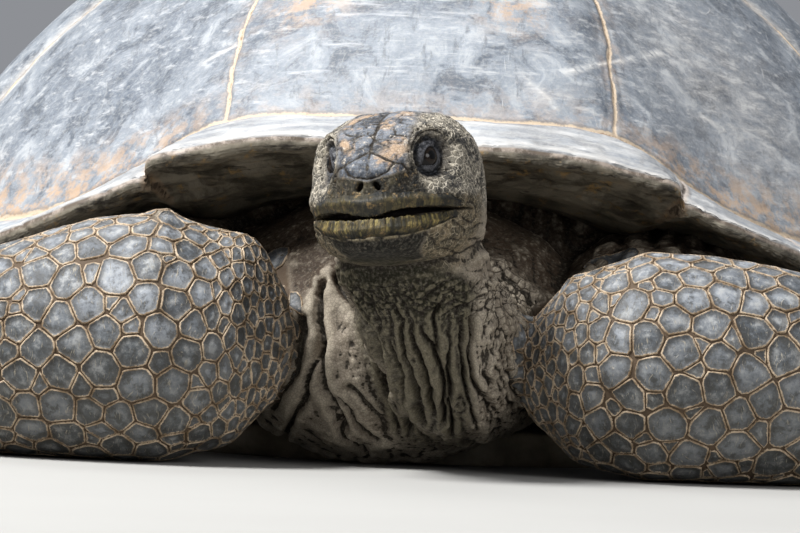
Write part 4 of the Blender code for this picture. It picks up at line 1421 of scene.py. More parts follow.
def shape_head(q, faces, tree):
    """Sculpts the head in its own frame. Gives the points and the masks for the paint."""
    near = (q[:, 1] < 0.16) & (np.abs(q[:, 0]) < 0.078) & (np.abs(q[:, 2] - 0.015) < 0.075)
    spots, _, away = nearest_on(tree, q[near])
    share = step(away, 0.010, 0.005) * step(q[near, 1], 0.150, 0.115)
    q[near] += share[:, None] * (spots - q[near])
    out = normals(q, faces)
    crown, temple, snout, cheek, chin, whole = head_masks(q)
    slit, under = mouth_masks(q)
    front = whole * step(q[:, 1], 0.085, 0.070) * step(q[:, 2], 0.016, 0.020)
    seam, line = head_lines(q, crown, front)
    lift = -0.0010 * line + 0.0009 * front * crown * step(seam, 0.0006, 0.0050)
    lift += whole * face_relief(q)
    lift += whole * (0.00055 * rough(q, 0.0045, 15) + 0.0007 * (creases(q, 0.0060, 16) - 0.6) * temple)
    lift += jaw_folds(q, cheek, whole)
    ridge = bell(q[:, 2] - lower_base(q[:, 1]) + 0.0004, 0.0011) * step(q[:, 1], 0.050, 0.040) * whole
    lift += 0.0010 * ridge
    lift -= 0.0022 * under * (1 - slit)
    lift -= MOUTH_DEPTH * slit * whole
    q = q + out * lift[:, None]
    lid = np.zeros(len(q))
    # Mask of painted shade in the slit between the jaws; the nostrils add theirs below.
    mouth = slit * whole
    for sign in (-1, 1):
        q = shape_eye(q, sign, lid)
    q = shape_nostrils(q, mouth)
    masks = {
        "crown": crown,
        "temple": temple * (1 - lid),
        "snout": snout,
        "cheek": cheek,
        "chin": chin,
        "line": line * (1 - lid),
        "lid": lid,
        "mouth": mouth,
        "pale": 0.55 * ridge * step(rough(q, 0.004, 77), -0.4, 0.2),
    }
    return q, masks, whole


def face_relief(q):
    """The soft forms of the face, which the beak follows too: a narrow snout, brows and cheeks."""
    x, y, z = np.abs(q[:, 0]), q[:, 1], q[:, 2]
    pinch = bell(x - 0.027, 0.007) * bell(z - 0.019, 0.011) * step(y, 0.045, 0.025)
    brow = bell(np.hypot((y - 0.047) / 0.018, (z - 0.0525) / 0.0065), 1.0)
    cheek = bell(np.hypot((y - 0.052) / 0.014, (z - 0.010) / 0.008), 1.0)
    relief = -0.0032 * pinch + 0.0026 * brow * step(x, 0.016, 0.028) + 0.0026 * cheek
    return relief + 0.0012 * rough(q, 0.020, 14)


def jaw_folds(q, cheek, whole):
    """Folds along the jaw and behind the corner of the mouth."""
    side = whole * step(np.abs(q[:, 0]), 0.028, 0.040) * step(q[:, 2], 0.004, -0.010)
    folds = 0.0024 * (creases(q * (0.6, 0.28, 1.0), 0.0085, 51) - 0.6) * side
    corner = np.hypot((q[:, 1] - 0.062) * 0.6, q[:, 2] + 0.004)
    return folds - 0.0012 * cheek * bell(corner - 0.007, 0.0018)


# Skin


def joined_flesh(frame, middle):
    """One closed surface round all the flesh, from slightly swollen pieces."""
    points, faces, count = [], [], 0
    parts = [node_arrays(frame["nodes"][name]) for name in FLESH]
    parts = [(p + normals(p, f) * SWELL, f) for p, f in parts]
    head, head_faces = head_loft()
    parts.append((moved(head_matrix(middle), head), head_faces))
    for own, own_faces in parts:
        points.append(own)
        faces.append(own_faces + count)
        count += len(own)
    mesh = bpy.data.meshes.new("flesh")
    mesh.from_pydata(np.vstack(points).tolist(), [], np.vstack(faces).tolist())
    obj = bpy.data.objects.new("flesh", mesh)
    bpy.context.scene.collection.objects.link(obj)
    modifier = obj.modifiers.new("join", "REMESH")
    modifier.mode = "VOXEL"
    modifier.voxel_size = VOXEL
    shape = obj.evaluated_get(bpy.context.evaluated_depsgraph_get())
    made = bpy.data.meshes.new_from_object(shape)
    bpy.data.objects.remove(obj)
    holder = bpy.data.objects.new("flesh_joined", made)
    points, faces = node_arrays(holder)
    bpy.data.objects.remove(holder)
    return largest_body(points, faces)


def limb_share(local):
    """How much a point in the shell's frame belongs to a limb or the tail that has plates."""
    total = np.zeros(len(local))
    for limb in LIMBS.values():
        _, away, reach = along_line(local, limb["line"])
        total = np.maximum(total, step(away - reach, 0.014, 0.004) * limb["keep"](local))
    return total


def along_line(points, line):
    """Nearest point of a line of (x, y, z, reach), distance from it, and its reach there."""
    table = np.array(line, float)
    best = np.full(len(points), 1e9)
    spot = np.zeros_like(points)
    reach = np.zeros(len(points))
    for i in range(len(table) - 1):
        along = table[i + 1, :3] - table[i, :3]
        t = np.clip((points - table[i, :3]) @ along / (along @ along), 0, 1)
        away = np.linalg.norm(points - table[i, :3] - t[:, None] * along, axis=1)
        closer = away < best
        best[closer] = away[closer]
        spot[closer] = (table[i, :3] + t[:, None] * along)[closer]
        reach[closer] = (table[i, 3] + t * (table[i + 1, 3] - table[i, 3]))[closer]
    return spot, best, reach


def neck_distance(local):
    """Distance from the middle line of the neck."""
    return along_line(local, [(*place, 0.0) for place in NECK_LINE])[1]


def skin_detail(points, middle):
    """Edge lengths: finest at the eyes, nostrils and mouth, then head, neck and apron."""
    local = points - middle
    q = moved(head_matrix(middle).inverted(), points)
    length = np.full(len(points), 0.008)
    length[(local[:, 1] < -0.30) & (local[:, 2] < 0.30)] = 0.0048
    away = neck_distance(local)
    apron = (np.abs(local[:, 0] + 0.02) < 0.16) & (local[:, 1] < -0.43) & (local[:, 2] < 0.2)
    length[apron] = 0.0030
    length[(away < 0.085) & (local[:, 1] < -0.50)] = 0.0019
    length[(away < 0.080) & (local[:, 1] < -0.60) & (local[:, 2] < 0.18)] = 0.0014
    x = np.abs(q[:, 0])
    head = (q[:, 1] < 0.155) & (x < 0.075) & (np.abs(q[:, 2] - 0.015) < 0.068)
    length[head] = 0.0014
    mouth = (q[:, 1] < 0.068) & (np.abs(q[:, 2] + 0.004) < 0.011) & head
    length[mouth] = 0.0011
    nostril = (q[:, 1] < 0.03) & (np.hypot(x - NOSTRIL[0], q[:, 2] - NOSTRIL[1]) < 0.008)
    length[nostril] = 0.0007
    for sign in (-1, 1):
        place, _, _, _ = eye_frame(sign)
        length[np.linalg.norm(q - place, axis=1) < 0.0205] = 0.0008
    return length


def neck_relief(local, out, head):
    """Wrinkles of the throat, the neck's sides, the apron and the soft front of the body."""
    free = 1 - limb_share(local)
    body = (1 - head) * free
    x, z = local[:, 0], local[:, 2]
    away = neck_distance(local)
    neck = body * step(away, 0.086, 0.066) * step(local[:, 1], -0.50, -0.56)
    neck *= step(x, -0.060, -0.030) + step(z, 0.10, 0.14) * step(x, -0.030, -0.060)
    neck = np.clip(neck, 0, 1)
    forwards = step(out[:, 1], 0.25, -0.35)
    side = neck * np.clip(step(x, 0.050, 0.062) + step(out[:, 1], -0.3, 0.2), 0, 1)
    throat = neck * forwards * step(z, 0.160, 0.118) * (1 - 0.7 * side)
    lift = throat_folds(local) * throat
    slim = np.stack([x + 0.30 * z, local[:, 1] * 0.8, z * 0.33], axis=1)
    slim += 0.003 * noise(local, 0.015, 83)[:, None]
    lift += 0.0085 * (creases(slim, 0.0130, 84, 3) - 0.6) * side
    upper = neck * step(z, 0.108, 0.128)
    lift += upper_throat(local) * upper * (1 - 0.6 * side)
    apron = body * (1 - neck) * step(local[:, 1], -0.42, -0.47)
    apron *= step(np.abs(x + 0.02), 0.17, 0.14)
    lift += apron_folds(local) * np.maximum(apron, neck * step(x, 0.0, -0.02))
    front = body * (1 - neck) * (1 - apron) * step(local[:, 1], -0.24, -0.34)
    lift += 0.013 * (creases(local * (1, 0.6, 0.8), 0.042, 90, 3) - 0.55) * front
    lift += 0.0009 * (creases(local, 0.0055, 95, 2) - 0.55) * body
    # Mask of the painted shadow that the head casts on the front of the throat and under the jaw.
    shade = free * step(away, 0.086, 0.066) * step(local[:, 1], -0.50, -0.56) * forwards
    shade *= step(x, 0.056, 0.044) * step(x, -0.060 + 0.35 * (0.14 - z), -0.046 + 0.35 * (0.14 - z))
    shade *= step(z + 0.3 * np.abs(x + 0.015) - 0.004 * noise(local, 0.012, 92), 0.171, 0.159)
    shade *= 0.80 + 0.20 * step(z, 0.095, 0.125)
    # Painted shade: the high skin at the front, beside the neck and under the shell's rim, is masked to be
    # painted near black.
    behind = body * (1 - neck) * step(z, 0.112, 0.132) * step(local[:, 1], -0.28, -0.34)
    return lift, 0.45 * side + 0.6 * front + 0.9 * upper, behind, shade


def upper_throat(local):
    """Under the chin: folds that fan down from the corners of the jaw, and a net of wrinkles."""
    side = np.abs(local[:, 0] + 0.012)
    down = local[:, 2] * 0.82 - side * 0.57
    fan = np.stack([(side * 0.82 + local[:, 2] * 0.57) * 0.22, local[:, 1] * 0.3, down], axis=1)
    folds = 0.0042 * (creases(fan, 0.0095, 86, 2) - 0.6) * step(side, 0.004, 0.030)
    border, _ = cells(local + 0.002 * noise(local, 0.01, 89)[:, None], 0.0075, 88)
    return folds - 0.0011 * bell(border, 0.0008)


def throat_folds(local):
    """Narrow grooves that run out upwards, a few raised folds between them, and fine wrinkles."""
    bent = local[:, 0] + 0.0035 * noise(local, 0.022, 80) + 0.0015 * noise(local, 0.008, 82)
    front_view = np.stack([bent, local[:, 2]], axis=1)
    lift = np.zeros(len(local))
    for depth, width, line in THROAT_GROOVES:
        away = line_distance(front_view, line)
        fade = step(line[0][1] - local[:, 2], -0.004, 0.022) * (0.85 + 0.5 * noise(local, 0.018, 85))
        lift -= 1.15 * fade * depth * bell(away, 0.62 * width)
        lift += 0.14 * fade * depth * bell(away - 2.4 * width, 1.2 * width)
    for height, width, line in THROAT_FOLDS:
        fade = step(line[0][1] - local[:, 2], -0.004, 0.020)
        lift += fade * height * bell(line_distance(front_view, line), width)
    upright = np.stack([bent + 0.30 * local[:, 2], local[:, 1] * 0.45, local[:, 2] * 0.22], axis=1)
    net = creases(local * (1, 0.5, 0.6), 0.0060, 87)
    return lift + 0.0032 * (creases(upright, 0.0100, 81, 3) - 0.6) + 0.0014 * (net - 0.6)


def apron_folds(local):
    """The loose skin beside the neck: a few deep creases and a slack, pitted surface."""
    bent = local[:, 0] + 0.004 * noise(local, 0.03, 97) + 0.0015 * noise(local, 0.009, 94)
    front_view = np.stack([bent, local[:, 2]], axis=1)
    lift = 0.0035 * rough(local * (1, 0.5, 0.6), 0.030, 98)
    lift += 0.0012 * (creases(local * (1, 0.6, 0.45), 0.012, 96) - 0.6)
    pits, _ = cells(local, 0.009, 93)
    lift -= 0.0010 * step(pits, 0.0034, 0.0042)
    for depth, width, line in APRON_CREASES:
        away = line_distance(front_view, line)
        lift -= depth * bell(away, 0.7 * width)
        lift += 0.12 * depth * bell(away - 2.0 * width, 1.2 * width)
    low = step(local[:, 2], 0.045, 0.020)
    slack = np.stack([local[:, 0] + local[:, 2] * 0.8, local[:, 1], local[:, 2] * 0.4], 1)
    return lift + 0.004 * (creases(slack, 0.014, 99) - 0.55) * low


def cavity_of(points, faces, out):
    """Negative in creases and positive on ridges, from -1 to 1."""
    edges, _ = edges_of(faces)
    total = np.zeros(len(points))
    mean = points
    for times in (2, 6):
        for _ in range(times):
            mean = neighbour_mean(mean, edges)
        total += np.einsum("ij,ij->i", points - mean, out)
    length = np.linalg.norm(points[edges[:, 0]] - points[edges[:, 1]], axis=1)
    size = np.bincount(edges[:, 0], length, len(points)) / np.maximum(
        np.bincount(edges[:, 0], minlength=len(points)), 1
    )
    return np.clip(total / np.maximum(size, 0.0009) * 0.8, -1, 1)


def make_skin(frame, middle):
    """The one skin in place of every node of flesh. Gives its points and faces."""
    points, faces = joined_flesh(frame, middle)
    points = smoothed(points, faces, 10)
    rounder = bell(np.linalg.norm(points - middle - np.array(ROUND_KNEE), axis=1), 0.032)
    points = points + normals(points, faces) * (0.0095 * rounder)[:, None]
    inwards = SWELL + SCALE_DEPTH * limb_share(points - middle)
    points = points - normals(points, faces) * inwards[:, None]
    points, faces = refined(points, faces, lambda p: skin_detail(p, middle), 5)
    fine = skin_detail(points, middle) < 0.004
    eased = smoothed(points, faces, 6)
    points[fine] = eased[fine]
    rest = points.copy()
    tree = tree_of(*head_loft())
    matrix = head_matrix(middle)
    q, masks, head = shape_head(moved(matrix.inverted(), points), faces, tree)
    points = moved(matrix, q)
    out = normals(points, faces)
    local = points - middle
    lift, leather, behind, shade = neck_relief(local, out, head)
    points = points + out * lift[:, None]
    points[:, 2] = np.maximum(points[:, 2], 0.0)
    out = normals(points, faces)
    local = points - middle
    # Painted shade: skin set back under the front of the shell, and the high skin under its rim, are
    # masked to be painted near black.
    deep = step(local[:, 1], -0.53, -0.42) * step(local[:, 2], 0.02, 0.06)
    covered = limb_share(local)
    values = {
        **masks,
        "cavity": cavity_of(points, faces, out),
        "groove": covered * np.where(local[:, 1] < 0, beside_neck(local), 1.0),
        "leather": leather,
        "shade": shade,
        "dark": np.maximum(deep * step(local[:, 1], 0.30, -0.20), behind) * (1 - head),
    }
    region = skin_regions(rest - middle, moved(matrix.inverted(), rest))
    chart = box_charts(rest, faces, region, (0.22, 2.2, 1.1, 0.35))
    piece = build("tortoise_skin", points, faces, skin_paint(), values, chart)
    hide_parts("head", "lower_jaw", *FLESH)
    return points, faces


def skin_regions(local, q):
    """Regions of the bake map: 0 body, 1 head, 2 neck and apron, 3 limbs."""
    region = np.zeros(len(local), int)
    region[limb_share(local) > 0.3] = 3
    away = neck_distance(local)
    region[(away < 0.10) & (local[:, 1] < -0.45)] = 2
    head = (q[:, 1] < 0.15) & (np.abs(q[:, 0]) < 0.07) & (np.abs(q[:, 2] - 0.015) < 0.06)
    region[head] = 1
    return region


# Scale plates


def scattered(points, faces, size_at, generator, tries):
    """Seeds over the faces, each about its own size from the next."""
    area = np.linalg.norm(face_normals(points, faces), axis=1)
    chosen = faces[generator.choice(len(faces), tries, p=area / area.sum())]
    share = generator.random((tries, 2))
    share = np.where(share.sum(1, keepdims=True) > 1, 1 - share, share)
    a, b, c = (points[chosen[:, k]] for k in range(3))
    tried = a + share[:, :1] * (b - a) + share[:, 1:] * (c - a)
    sizes = size_at(tried) * generator.uniform(0.82, 1.14, tries)
    spots = np.empty((tries, 3))
    widths = np.empty(tries)
    count = 0
    for spot, size in zip(tried, sizes):
        away = np.linalg.norm(spots[:count] - spot, axis=1)
        if count and (away < 0.47 * (widths[:count] + size)).any():
            continue
        spots[count], widths[count] = spot, size
        count += 1
    return spots[:count], widths[:count]


def spread_out(spots, widths, tree):
    """Pushes crowded seeds apart along the surface."""
    for _ in range(SPREAD_ROUNDS):
        gap = spots[:, None] - spots[None]
        away = np.linalg.norm(gap, axis=2) + np.eye(len(spots))
        want = 0.53 * (widths[:, None] + widths[None])
        push = np.clip(want - away, 0, None) / away * (1 - np.eye(len(spots)))
        spots = spots + 0.28 * (gap * push[:, :, None]).sum(1)
        spots = nearest_on(tree, spots)[0]
    return spots


def with_fillers(spots, widths, points, faces, generator):
    """Adds small seeds in the gaps between the large ones."""
    more, _ = scattered(points, faces, lambda p: np.full(len(p), 1e-4), generator, FILLER_TRIES)
    away = np.linalg.norm(more[:, None] - spots[None], axis=2)
    room = (away - 0.5 * widths[None]).min(1)
    kept = []
    for i in np.argsort(-room):
        if room[i] < FILLER_ROOM:
            break
        if all(np.linalg.norm(more[i] - more[k]) > 0.95 * (room[i] + room[k]) for k in kept):
            kept.append(i)
    return np.vstack([spots, more[kept]]), np.concatenate([widths, 1.9 * room[kept]])


def plate_outlines(spots, widths, turned, sides):
    """Two tangents per seed, and its plate's reach in each direction."""
    lean = np.where(np.abs(turned[:, :1]) > 0.9, [[0.0, 1.0, 0.0]], [[1.0, 0.0, 0.0]])
    first = np.cross(turned, lean)
    first /= np.linalg.norm(first, axis=1)[:, None]
    second = np.cross(turned, first)
    turn = round_turn(sides)
    facing = np.stack([np.cos(turn), np.sin(turn)])
    reaches = np.empty((len(spots), sides))
    wide = widened(spots)
    stretch = np.ones((len(spots), 3))
    stretch[:, 0] = stretch_at(np.abs(spots[:, 0]))
    for i in range(len(spots)):
        gap = wide - wide[i]
        away = np.linalg.norm(gap, axis=1)
        near = (away > 0) & (away < 1.6 * (widths[i] + widths.max()))
        level = gap[near] - np.outer(gap[near] @ turned[i], turned[i])
        level /= np.maximum(np.linalg.norm(level, axis=1), 1e-9)[:, None]
        level *= stretch[i]
        flat = np.stack([level @ first[i], level @ second[i]], axis=1)
        border = away[near] / 2 + (widths[i] ** 2 - widths[near] ** 2) / (8 * away[near])
        border = np.maximum(border - PLATE_GAP / 2, 0.0008)
        pull = np.maximum(flat @ facing, 0) / border[:, None]
        closest = (pull**22).sum(0) ** (1 / 22)
        reaches[i] = 1 / np.maximum(closest, 1 / (0.95 * widths[i] + 0.004))
    return first, second, reaches


def plate_rings(reach, large):
    """Rings of a plate, as shares of its reach, with their inset and height."""
    size = reach.mean(1)
    scale = np.clip(size / 0.008, 0.35, 1.0)
    rings = []
    for inset, height in PLATE_PROFILE:
        rings.append((1 - inset * scale[:, None] / reach, inset * scale, height * scale))
    inner = np.maximum(rings[-1][0], 0.3)
    for share, height in ((0.62, 0.0006), (0.28, 0.0008)) if large else ((0.45, 0.0006),):
        rings.append((inner * share, size * (1 - share), height * scale))
    return rings


def plates_from(spots, turned, first, second, reach, tree, large, generator):
    """Plates with these outlines: points, faces, and inset and plate number per point."""
    sides = reach.shape[1]
    turn = round_turn(sides)
    facing = np.cos(turn)[None, :, None] * first[:, None]
    facing = facing + np.sin(turn)[None, :, None] * second[:, None]
    tilt = generator.uniform(-0.00022, 0.00022, (len(spots), 2))
    lean = tilt[:, :1] * np.cos(turn) + tilt[:, 1:] * np.sin(turn)
    layers, insets = [], []
    for share, inset, height in plate_rings(reach, large):
        flat = spots[:, None] + facing * (reach * share)[:, :, None]
        ground, up, _ = nearest_on(tree, flat.reshape(-1, 3))
        rise = (height[:, None] + lean * (height[:, None] > 0)).reshape(-1, 1)
        layers.append((ground + up * rise).reshape(len(spots), sides, 3))
        insets.append(np.repeat(inset[:, None], sides, axis=1))
    size = reach.mean(1)
    centre = spots + turned * (0.0009 * np.clip(size / 0.008, 0.35, 1))[:, None]
    block = np.stack(layers, 1).reshape(len(spots), -1, 3)
    block = np.concatenate([block, centre[:, None]], 1)
    inset = np.stack(insets, 1).reshape(len(spots), -1)
    inset = np.concatenate([inset, size[:, None]], 1)
    rows = len(layers)
    j = np.arange(sides)
    last = (rows - 1) * sides
    fan = np.stack([last + j, last + (j + 1) % sides, np.full(sides, rows * sides)], axis=1)
    one = np.vstack([grid_faces(rows, sides), fan])
    per = rows * sides + 1
    faces = (one[None] + per * np.arange(len(spots))[:, None, None]).reshape(-1, 3)
    number = np.repeat(np.arange(len(spots)), per)
    return block.reshape(-1, 3), faces, inset.ravel(), number


def limb_chart(points, faces, seed, spots, line):
    """A bake map that unrolls the limb round its axis; each plate stays whole."""
    table = np.array(line, float)[:, :3]
    axis = table[-1] - table[0]
    length = np.linalg.norm(axis)
    axis /= length
    side = np.cross(axis, [0.0, 0.0, 1.0] if abs(axis[2]) < 0.8 else [0.0, 1.0, 0.0])
    side /= np.linalg.norm(side)
    up = np.cross(side, axis)

    def polar(places):
        away = places - table[0]
        a, b = away @ side, away @ up
        return away @ axis / length, np.arctan2(b, -a) % (2 * math.pi), np.hypot(a, b)

    along, angle, radius = polar(points)
    _, centre_angle, _ = polar(spots)
    base = centre_angle[seed]
    angle = base + (angle - base + math.pi) % (2 * math.pi) - math.pi
    widest = radius.max()
    cap = (1 - radius / widest) * np.clip(2 * along - 1, -1, 1)
    u = along + 0.35 * cap
    u = 0.01 + 0.98 * (u - u.min()) / (u.max() - u.min())
    v = 0.06 + 0.88 * angle / (2 * math.pi)
    return np.stack([u, v], axis=1)[faces]


def plate_seeds(limb, wide, faces, wide_tree, tree, generator):
    """Places, widths and normals of a limb's plates, found in the widened space."""

    def size_at(places):
        return limb["size"](narrowed(places))

    spots, widths = scattered(wide, faces, size_at, generator, limb["tries"])
    spots = spread_out(spots, widths, wide_tree)
    spots, widths = with_fillers(spots, widths, wide, faces, generator)
    spots, turned, _ = nearest_on(tree, narrowed(spots))
    own = limb["keep"](spots) > 0.5
    return spots[own], widths[own], turned[own]


def make_scales(name, limb, skin_points, skin_faces, out, middle, paint):
    """The horny plates of one limb, as raised separate plates on the skin."""
    generator = np.random.default_rng(SEED + len(name))
    local = skin_points - middle
    nearest, away, reach = along_line(local, limb["line"])
    outwards = np.einsum("ij,ij->i", out, local - nearest) / np.maximum(away, 1e-6)
    wanted = (away < reach + PLATE_SLACK) & (outwards > 0.25) & (local[:, 2] > 0.0008)
    wanted &= limb["keep"](local) > 0.5
    faces = skin_faces[wanted[skin_faces].all(1)]
    tree_faces = skin_faces[(away < reach + 0.04)[skin_faces].all(1)]
    used, index = np.unique(tree_faces, return_inverse=True)
    tree = tree_of(local[used], index.reshape(-1, 3))
    wide = widened(local)
    wide_tree = tree_of(wide[used], index.reshape(-1, 3))
    spots, widths, turned = plate_seeds(limb, wide, faces, wide_tree, tree, generator)
    parts, count = [], 0
    tones = generator.random(len(spots))
    big = widths > PLATE_LARGE
    for own, sides, large in ((big, limb["sides"], True), (~big, SMALL_SIDES, False)):
        if not own.any():
            continue
        made = plates_of(spots, widths, turned, own, tree, sides, large, generator)
        parts.append((made[0], made[1] + count, made[2], made[3]))
        count += len(made[0])
    points = np.vstack([p[0] for p in parts])
    faces = np.vstack([p[1] for p in parts])
    inset = np.concatenate([p[2] for p in parts])
    seed = np.concatenate([p[3] for p in parts])
    wrinkled = 0.00035 * rough(points, 0.0045, 31) * step(inset, 0.0010, 0.0025)
    points += normals(points, faces) * wrinkled[:, None]
    points[:, 2] = np.maximum(points[:, 2], 0.0002)
    chart = limb_chart(points, faces, seed, spots, limb["line"])
    values = {"rim": inset, "tone": tones[seed]}
    piece = build(name, points + middle, faces, paint, values, chart)


def plates_of(spots, widths, turned, own, tree, sides, large, generator):
    """Plates for some of the seeds, shaped by all of them."""
    first, second, reach = plate_outlines(spots, widths, turned, sides)
    index = np.flatnonzero(own)
    own_shape = (spots[own], turned[own], first[own], second[own], reach[own])
    made = plates_from(*own_shape, tree, large, generator)
    return made[0], made[1], made[2], index[made[3]]


# Eyes, beak and claws


def make_eyes(middle):
    """The two eyeballs, bulged a little at the cornea."""
    matrix = head_matrix(middle)
    rows, columns = 40, 56
    paint = eye_paint()
    tilt = math.pi * (np.arange(rows) + 0.5) / rows
    turn = round_turn(columns)
    for side, sign in (("left", 1), ("right", -1)):
        centre, gaze, long_axis, short_axis = eye_frame(sign)
        ring = np.cos(turn)[:, None] * long_axis + np.sin(turn)[:, None] * short_axis
        out = np.sin(tilt)[:, None, None] * ring[None] + np.cos(tilt)[:, None, None] * gaze
        out = out.reshape(-1, 3)
        off = np.repeat(tilt, columns)
        swell = 1 + 0.035 * bell(off, 0.55)
        points = centre + out * (EYE_RADIUS * swell)[:, None]
        faces = facing_out(points, tube_faces(rows, columns), centre)
        chart = box_charts(points, faces, np.zeros(len(points), int), (1.0,))
        piece = build(f"eyeball_{side}", moved(matrix, points), faces, paint, {"off_axis": off}, chart)
        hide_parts(f"eye_{side}")


def facing_out(points, faces, centre):
    """Turns all faces round if they look towards the centre."""
    middles = points[faces].mean(1) - centre
    turned = np.einsum("ij,ij->i", face_normals(points, faces), middles).sum() < 0
    return faces[:, ::-1] if turned else faces


def beak_surface(tree, heading, height):
    """Where the head's surface lies, looking out from its inside at a heading and a height."""
    axis = np.array([0.0, 0.035, 0.0])
    out = np.stack([np.sin(heading), -np.cos(heading), np.zeros(len(heading))], axis=1)
    start = axis + out * 0.12
    start[:, 2] = height
    spots, turned = [], []
    for origin, way in zip(start.tolist(), (-out).tolist()):
        spot, up, _, _ = tree.ray_cast(origin, way)
        spots.append(spot)
        turned.append(up)
    return np.array(spots), np.array(turned)


def beak_outside(tree, heading, base_z, edge_z, upper):
    """Rows of the ridged outside from its base to its edge, their streaks, and the normals at
    the edge."""
    rows, streaks = [], []
    for i in range(BEAK_OUTER):
        share = i / (BEAK_OUTER - 1)
        z = base_z + (edge_z - base_z) * share
        spots, turned = beak_surface(tree, heading, z)
        strands = rough(np.stack([heading * 0.05, 0.12 * z, z * 0 + upper], 1), 0.0024, 101, 3)
        bulge = -0.0010 + 0.0011 * step(share, 0.0, 0.30) + 0.0009 * step(share, 0.25, 0.8)
        lift = bulge + (0.0004 if upper else 0.0009) * strands * min(2.5 * share, 1)
        lift += face_relief(spots)
        rows.append(spots + turned * lift[:, None])
        streaks.append(strands)
    return rows, streaks, turned


def beak_inside(edge, turned, rise, thin, upper):
    """Rows of the hollow inside, from the cutting edge inwards."""
    rows = []
    for i in range(BEAK_INNER):
        share = i / (BEAK_INNER - 1)
        lip = math.sin(math.pi * min(share * 2.2, 1)) * 0.0008 * (-1 if upper else 1)
        spots = edge - turned * (thin * (0.35 + 0.65 * share))[:, None]
        spots[:, 2] += lip + rise * 0.55 * share
        rows.append(spots)
    return rows


def make_beak(name, node, upper, tree, middle, paint):
    """A horn sheath: ridged outside, with a ragged cutting edge and a hollow inside."""
    columns = 340
    length = 0.050 if upper else 0.046
    base = upper_base if upper else lower_base
    reach = math.radians(105 if upper else 100)
    heading = np.linspace(-reach, reach, columns)
    place, _ = beak_surface(tree, heading, np.zeros(columns))
    y = np.minimum(place[:, 1], length)
    flat = np.stack([heading * 0.05, np.zeros(columns), np.zeros(columns)], axis=1)
    ragged = 0.0006 * rough(flat, 0.0035, 103) + 0.0004 * rough(flat, 0.0014, 104)
    edge_z = (upper_edge(place[:, 0], y) if upper else lower_edge(y)) + ragged * (0.8 if upper else 1.5)
    base_z = base(y) + 0.0011 * rough(flat, 0.008, 105)
    rows, streaks, turned = beak_outside(tree, heading, base_z, edge_z, upper)
    thin = 0.0042 * (1 - 0.4 * y / length)
    rows += beak_inside(rows[-1], turned, base_z - edge_z, thin, upper)
    streaks += [streaks[-1]] * BEAK_INNER
    count = len(rows)
    points = np.stack(rows, axis=1).reshape(-1, 3)
    faces = tube_faces(columns, count)
    faces = faces if upper else faces[:, ::-1]
    share = np.tile(np.minimum(np.arange(count) / (BEAK_OUTER - 1), 1), columns)
    dark = step(share, 1.08, 0.74) if upper else step(share, 0.22, 0.0)
    if upper:
        dark = np.maximum(dark, 0.85 * bell(points[:, 0], 0.012))
    dark = np.maximum(dark, step(points[:, 1], 0.030, 0.044))
    values = {"streak": np.stack(streaks, axis=1).ravel() * 1.3, "base": dark}
    u = np.repeat(np.linspace(0.01, 0.99, columns), count)
    v = np.tile(np.linspace(0.02, 0.98, count), columns)
    chart = np.stack([u, v], axis=1)[faces]
    wraps = np.ptp(chart[:, :, 1], axis=1) > 0.5
    chart[wraps, :, 1] = np.where(chart[wraps, :, 1] < 0.5, 1.0, chart[wraps, :, 1])
    piece = build(name, moved(head_matrix(middle), points), faces, paint, values, chart)
    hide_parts(node)


def claw_points(centre, heading, reach, height, sign):
    """One blunt, curved claw: points by ring, and how near each is to the tip."""
    rings, sides = 22, 20
    out = np.array([sign * math.sin(heading), -math.cos(heading), 0.0])
    side = np.cross([0.0, 0.0, 1.0], out)
    t = np.linspace(0, 1, rings)
    middle = centre + out * (reach + CLAW_LENGTH * (t - 0.3))[:, None]
    middle[:, 2] = height * (1 - 0.62 * t * t)
    radius = (CLAW_RADIUS * (1 - t) ** 0.6 + 0.0018) * (1 - 0.85 * step(t, 0.93, 1.0))
    turn = round_turn(sides)
    ridge = 1 + 0.035 * np.cos(7 * turn)[None] * (1 - t)[:, None]
    points = middle[:, None] + (radius[:, None] * ridge * np.cos(turn))[:, :, None] * side
    points[:, :, 2] += radius[:, None] * ridge * np.sin(turn) * 0.85
    points[:, :, 2] = np.maximum(points[:, :, 2], 0.0)
    points = points.reshape(-1, 3)
    return points, facing_out(points, tube_faces(rings, sides), middle.mean(0)), np.repeat(t, sides)


def make_claws(kind, fan, middle, paint):
    """The claws of the two fore feet or of the two hind feet, one piece for each foot."""
    (x, y), reach, height, headings = fan
    for side, sign in (("left", 1), ("right", -1)):
        points, faces, tips, region, count = [], [], [], [], 0
        for number, heading in enumerate(headings):
            centre = np.array([sign * x, y, 0.0])
            own, own_faces, t = claw_points(centre, math.radians(heading), reach, height, sign)
            points.append(own)
            faces.append(own_faces + count)
            tips.append(t)
            region.append(np.full(len(own), number))
            count += len(own)
        points, faces = np.vstack(points), np.vstack(faces)
        chart = box_charts(points, faces, np.concatenate(region), (1.0,) * len(headings))
        values = {"tip": np.concatenate(tips)}
        piece = build(f"{kind}_claws_{side}", points + middle, faces, paint, values, chart)
        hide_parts(*(f"{kind}_claw_{side}_{i + 1}" for i in range(len(headings))))


# Stage


def area_light(name, place, aim, size, power):
    """An oval soft light that looks at a point."""
    light = bpy.data.lights.new(name, "AREA")
    light.shape = "ELLIPSE"
    light.size, light.size_y = size
    light.energy = power
    obj = bpy.data.objects.new(name, light)
    obj.location = place
    obj.rotation_euler = (Vector(aim) - Vector(place)).to_track_quat("-Z", "Y").to_euler()
    bpy.context.scene.collection.objects.link(obj)


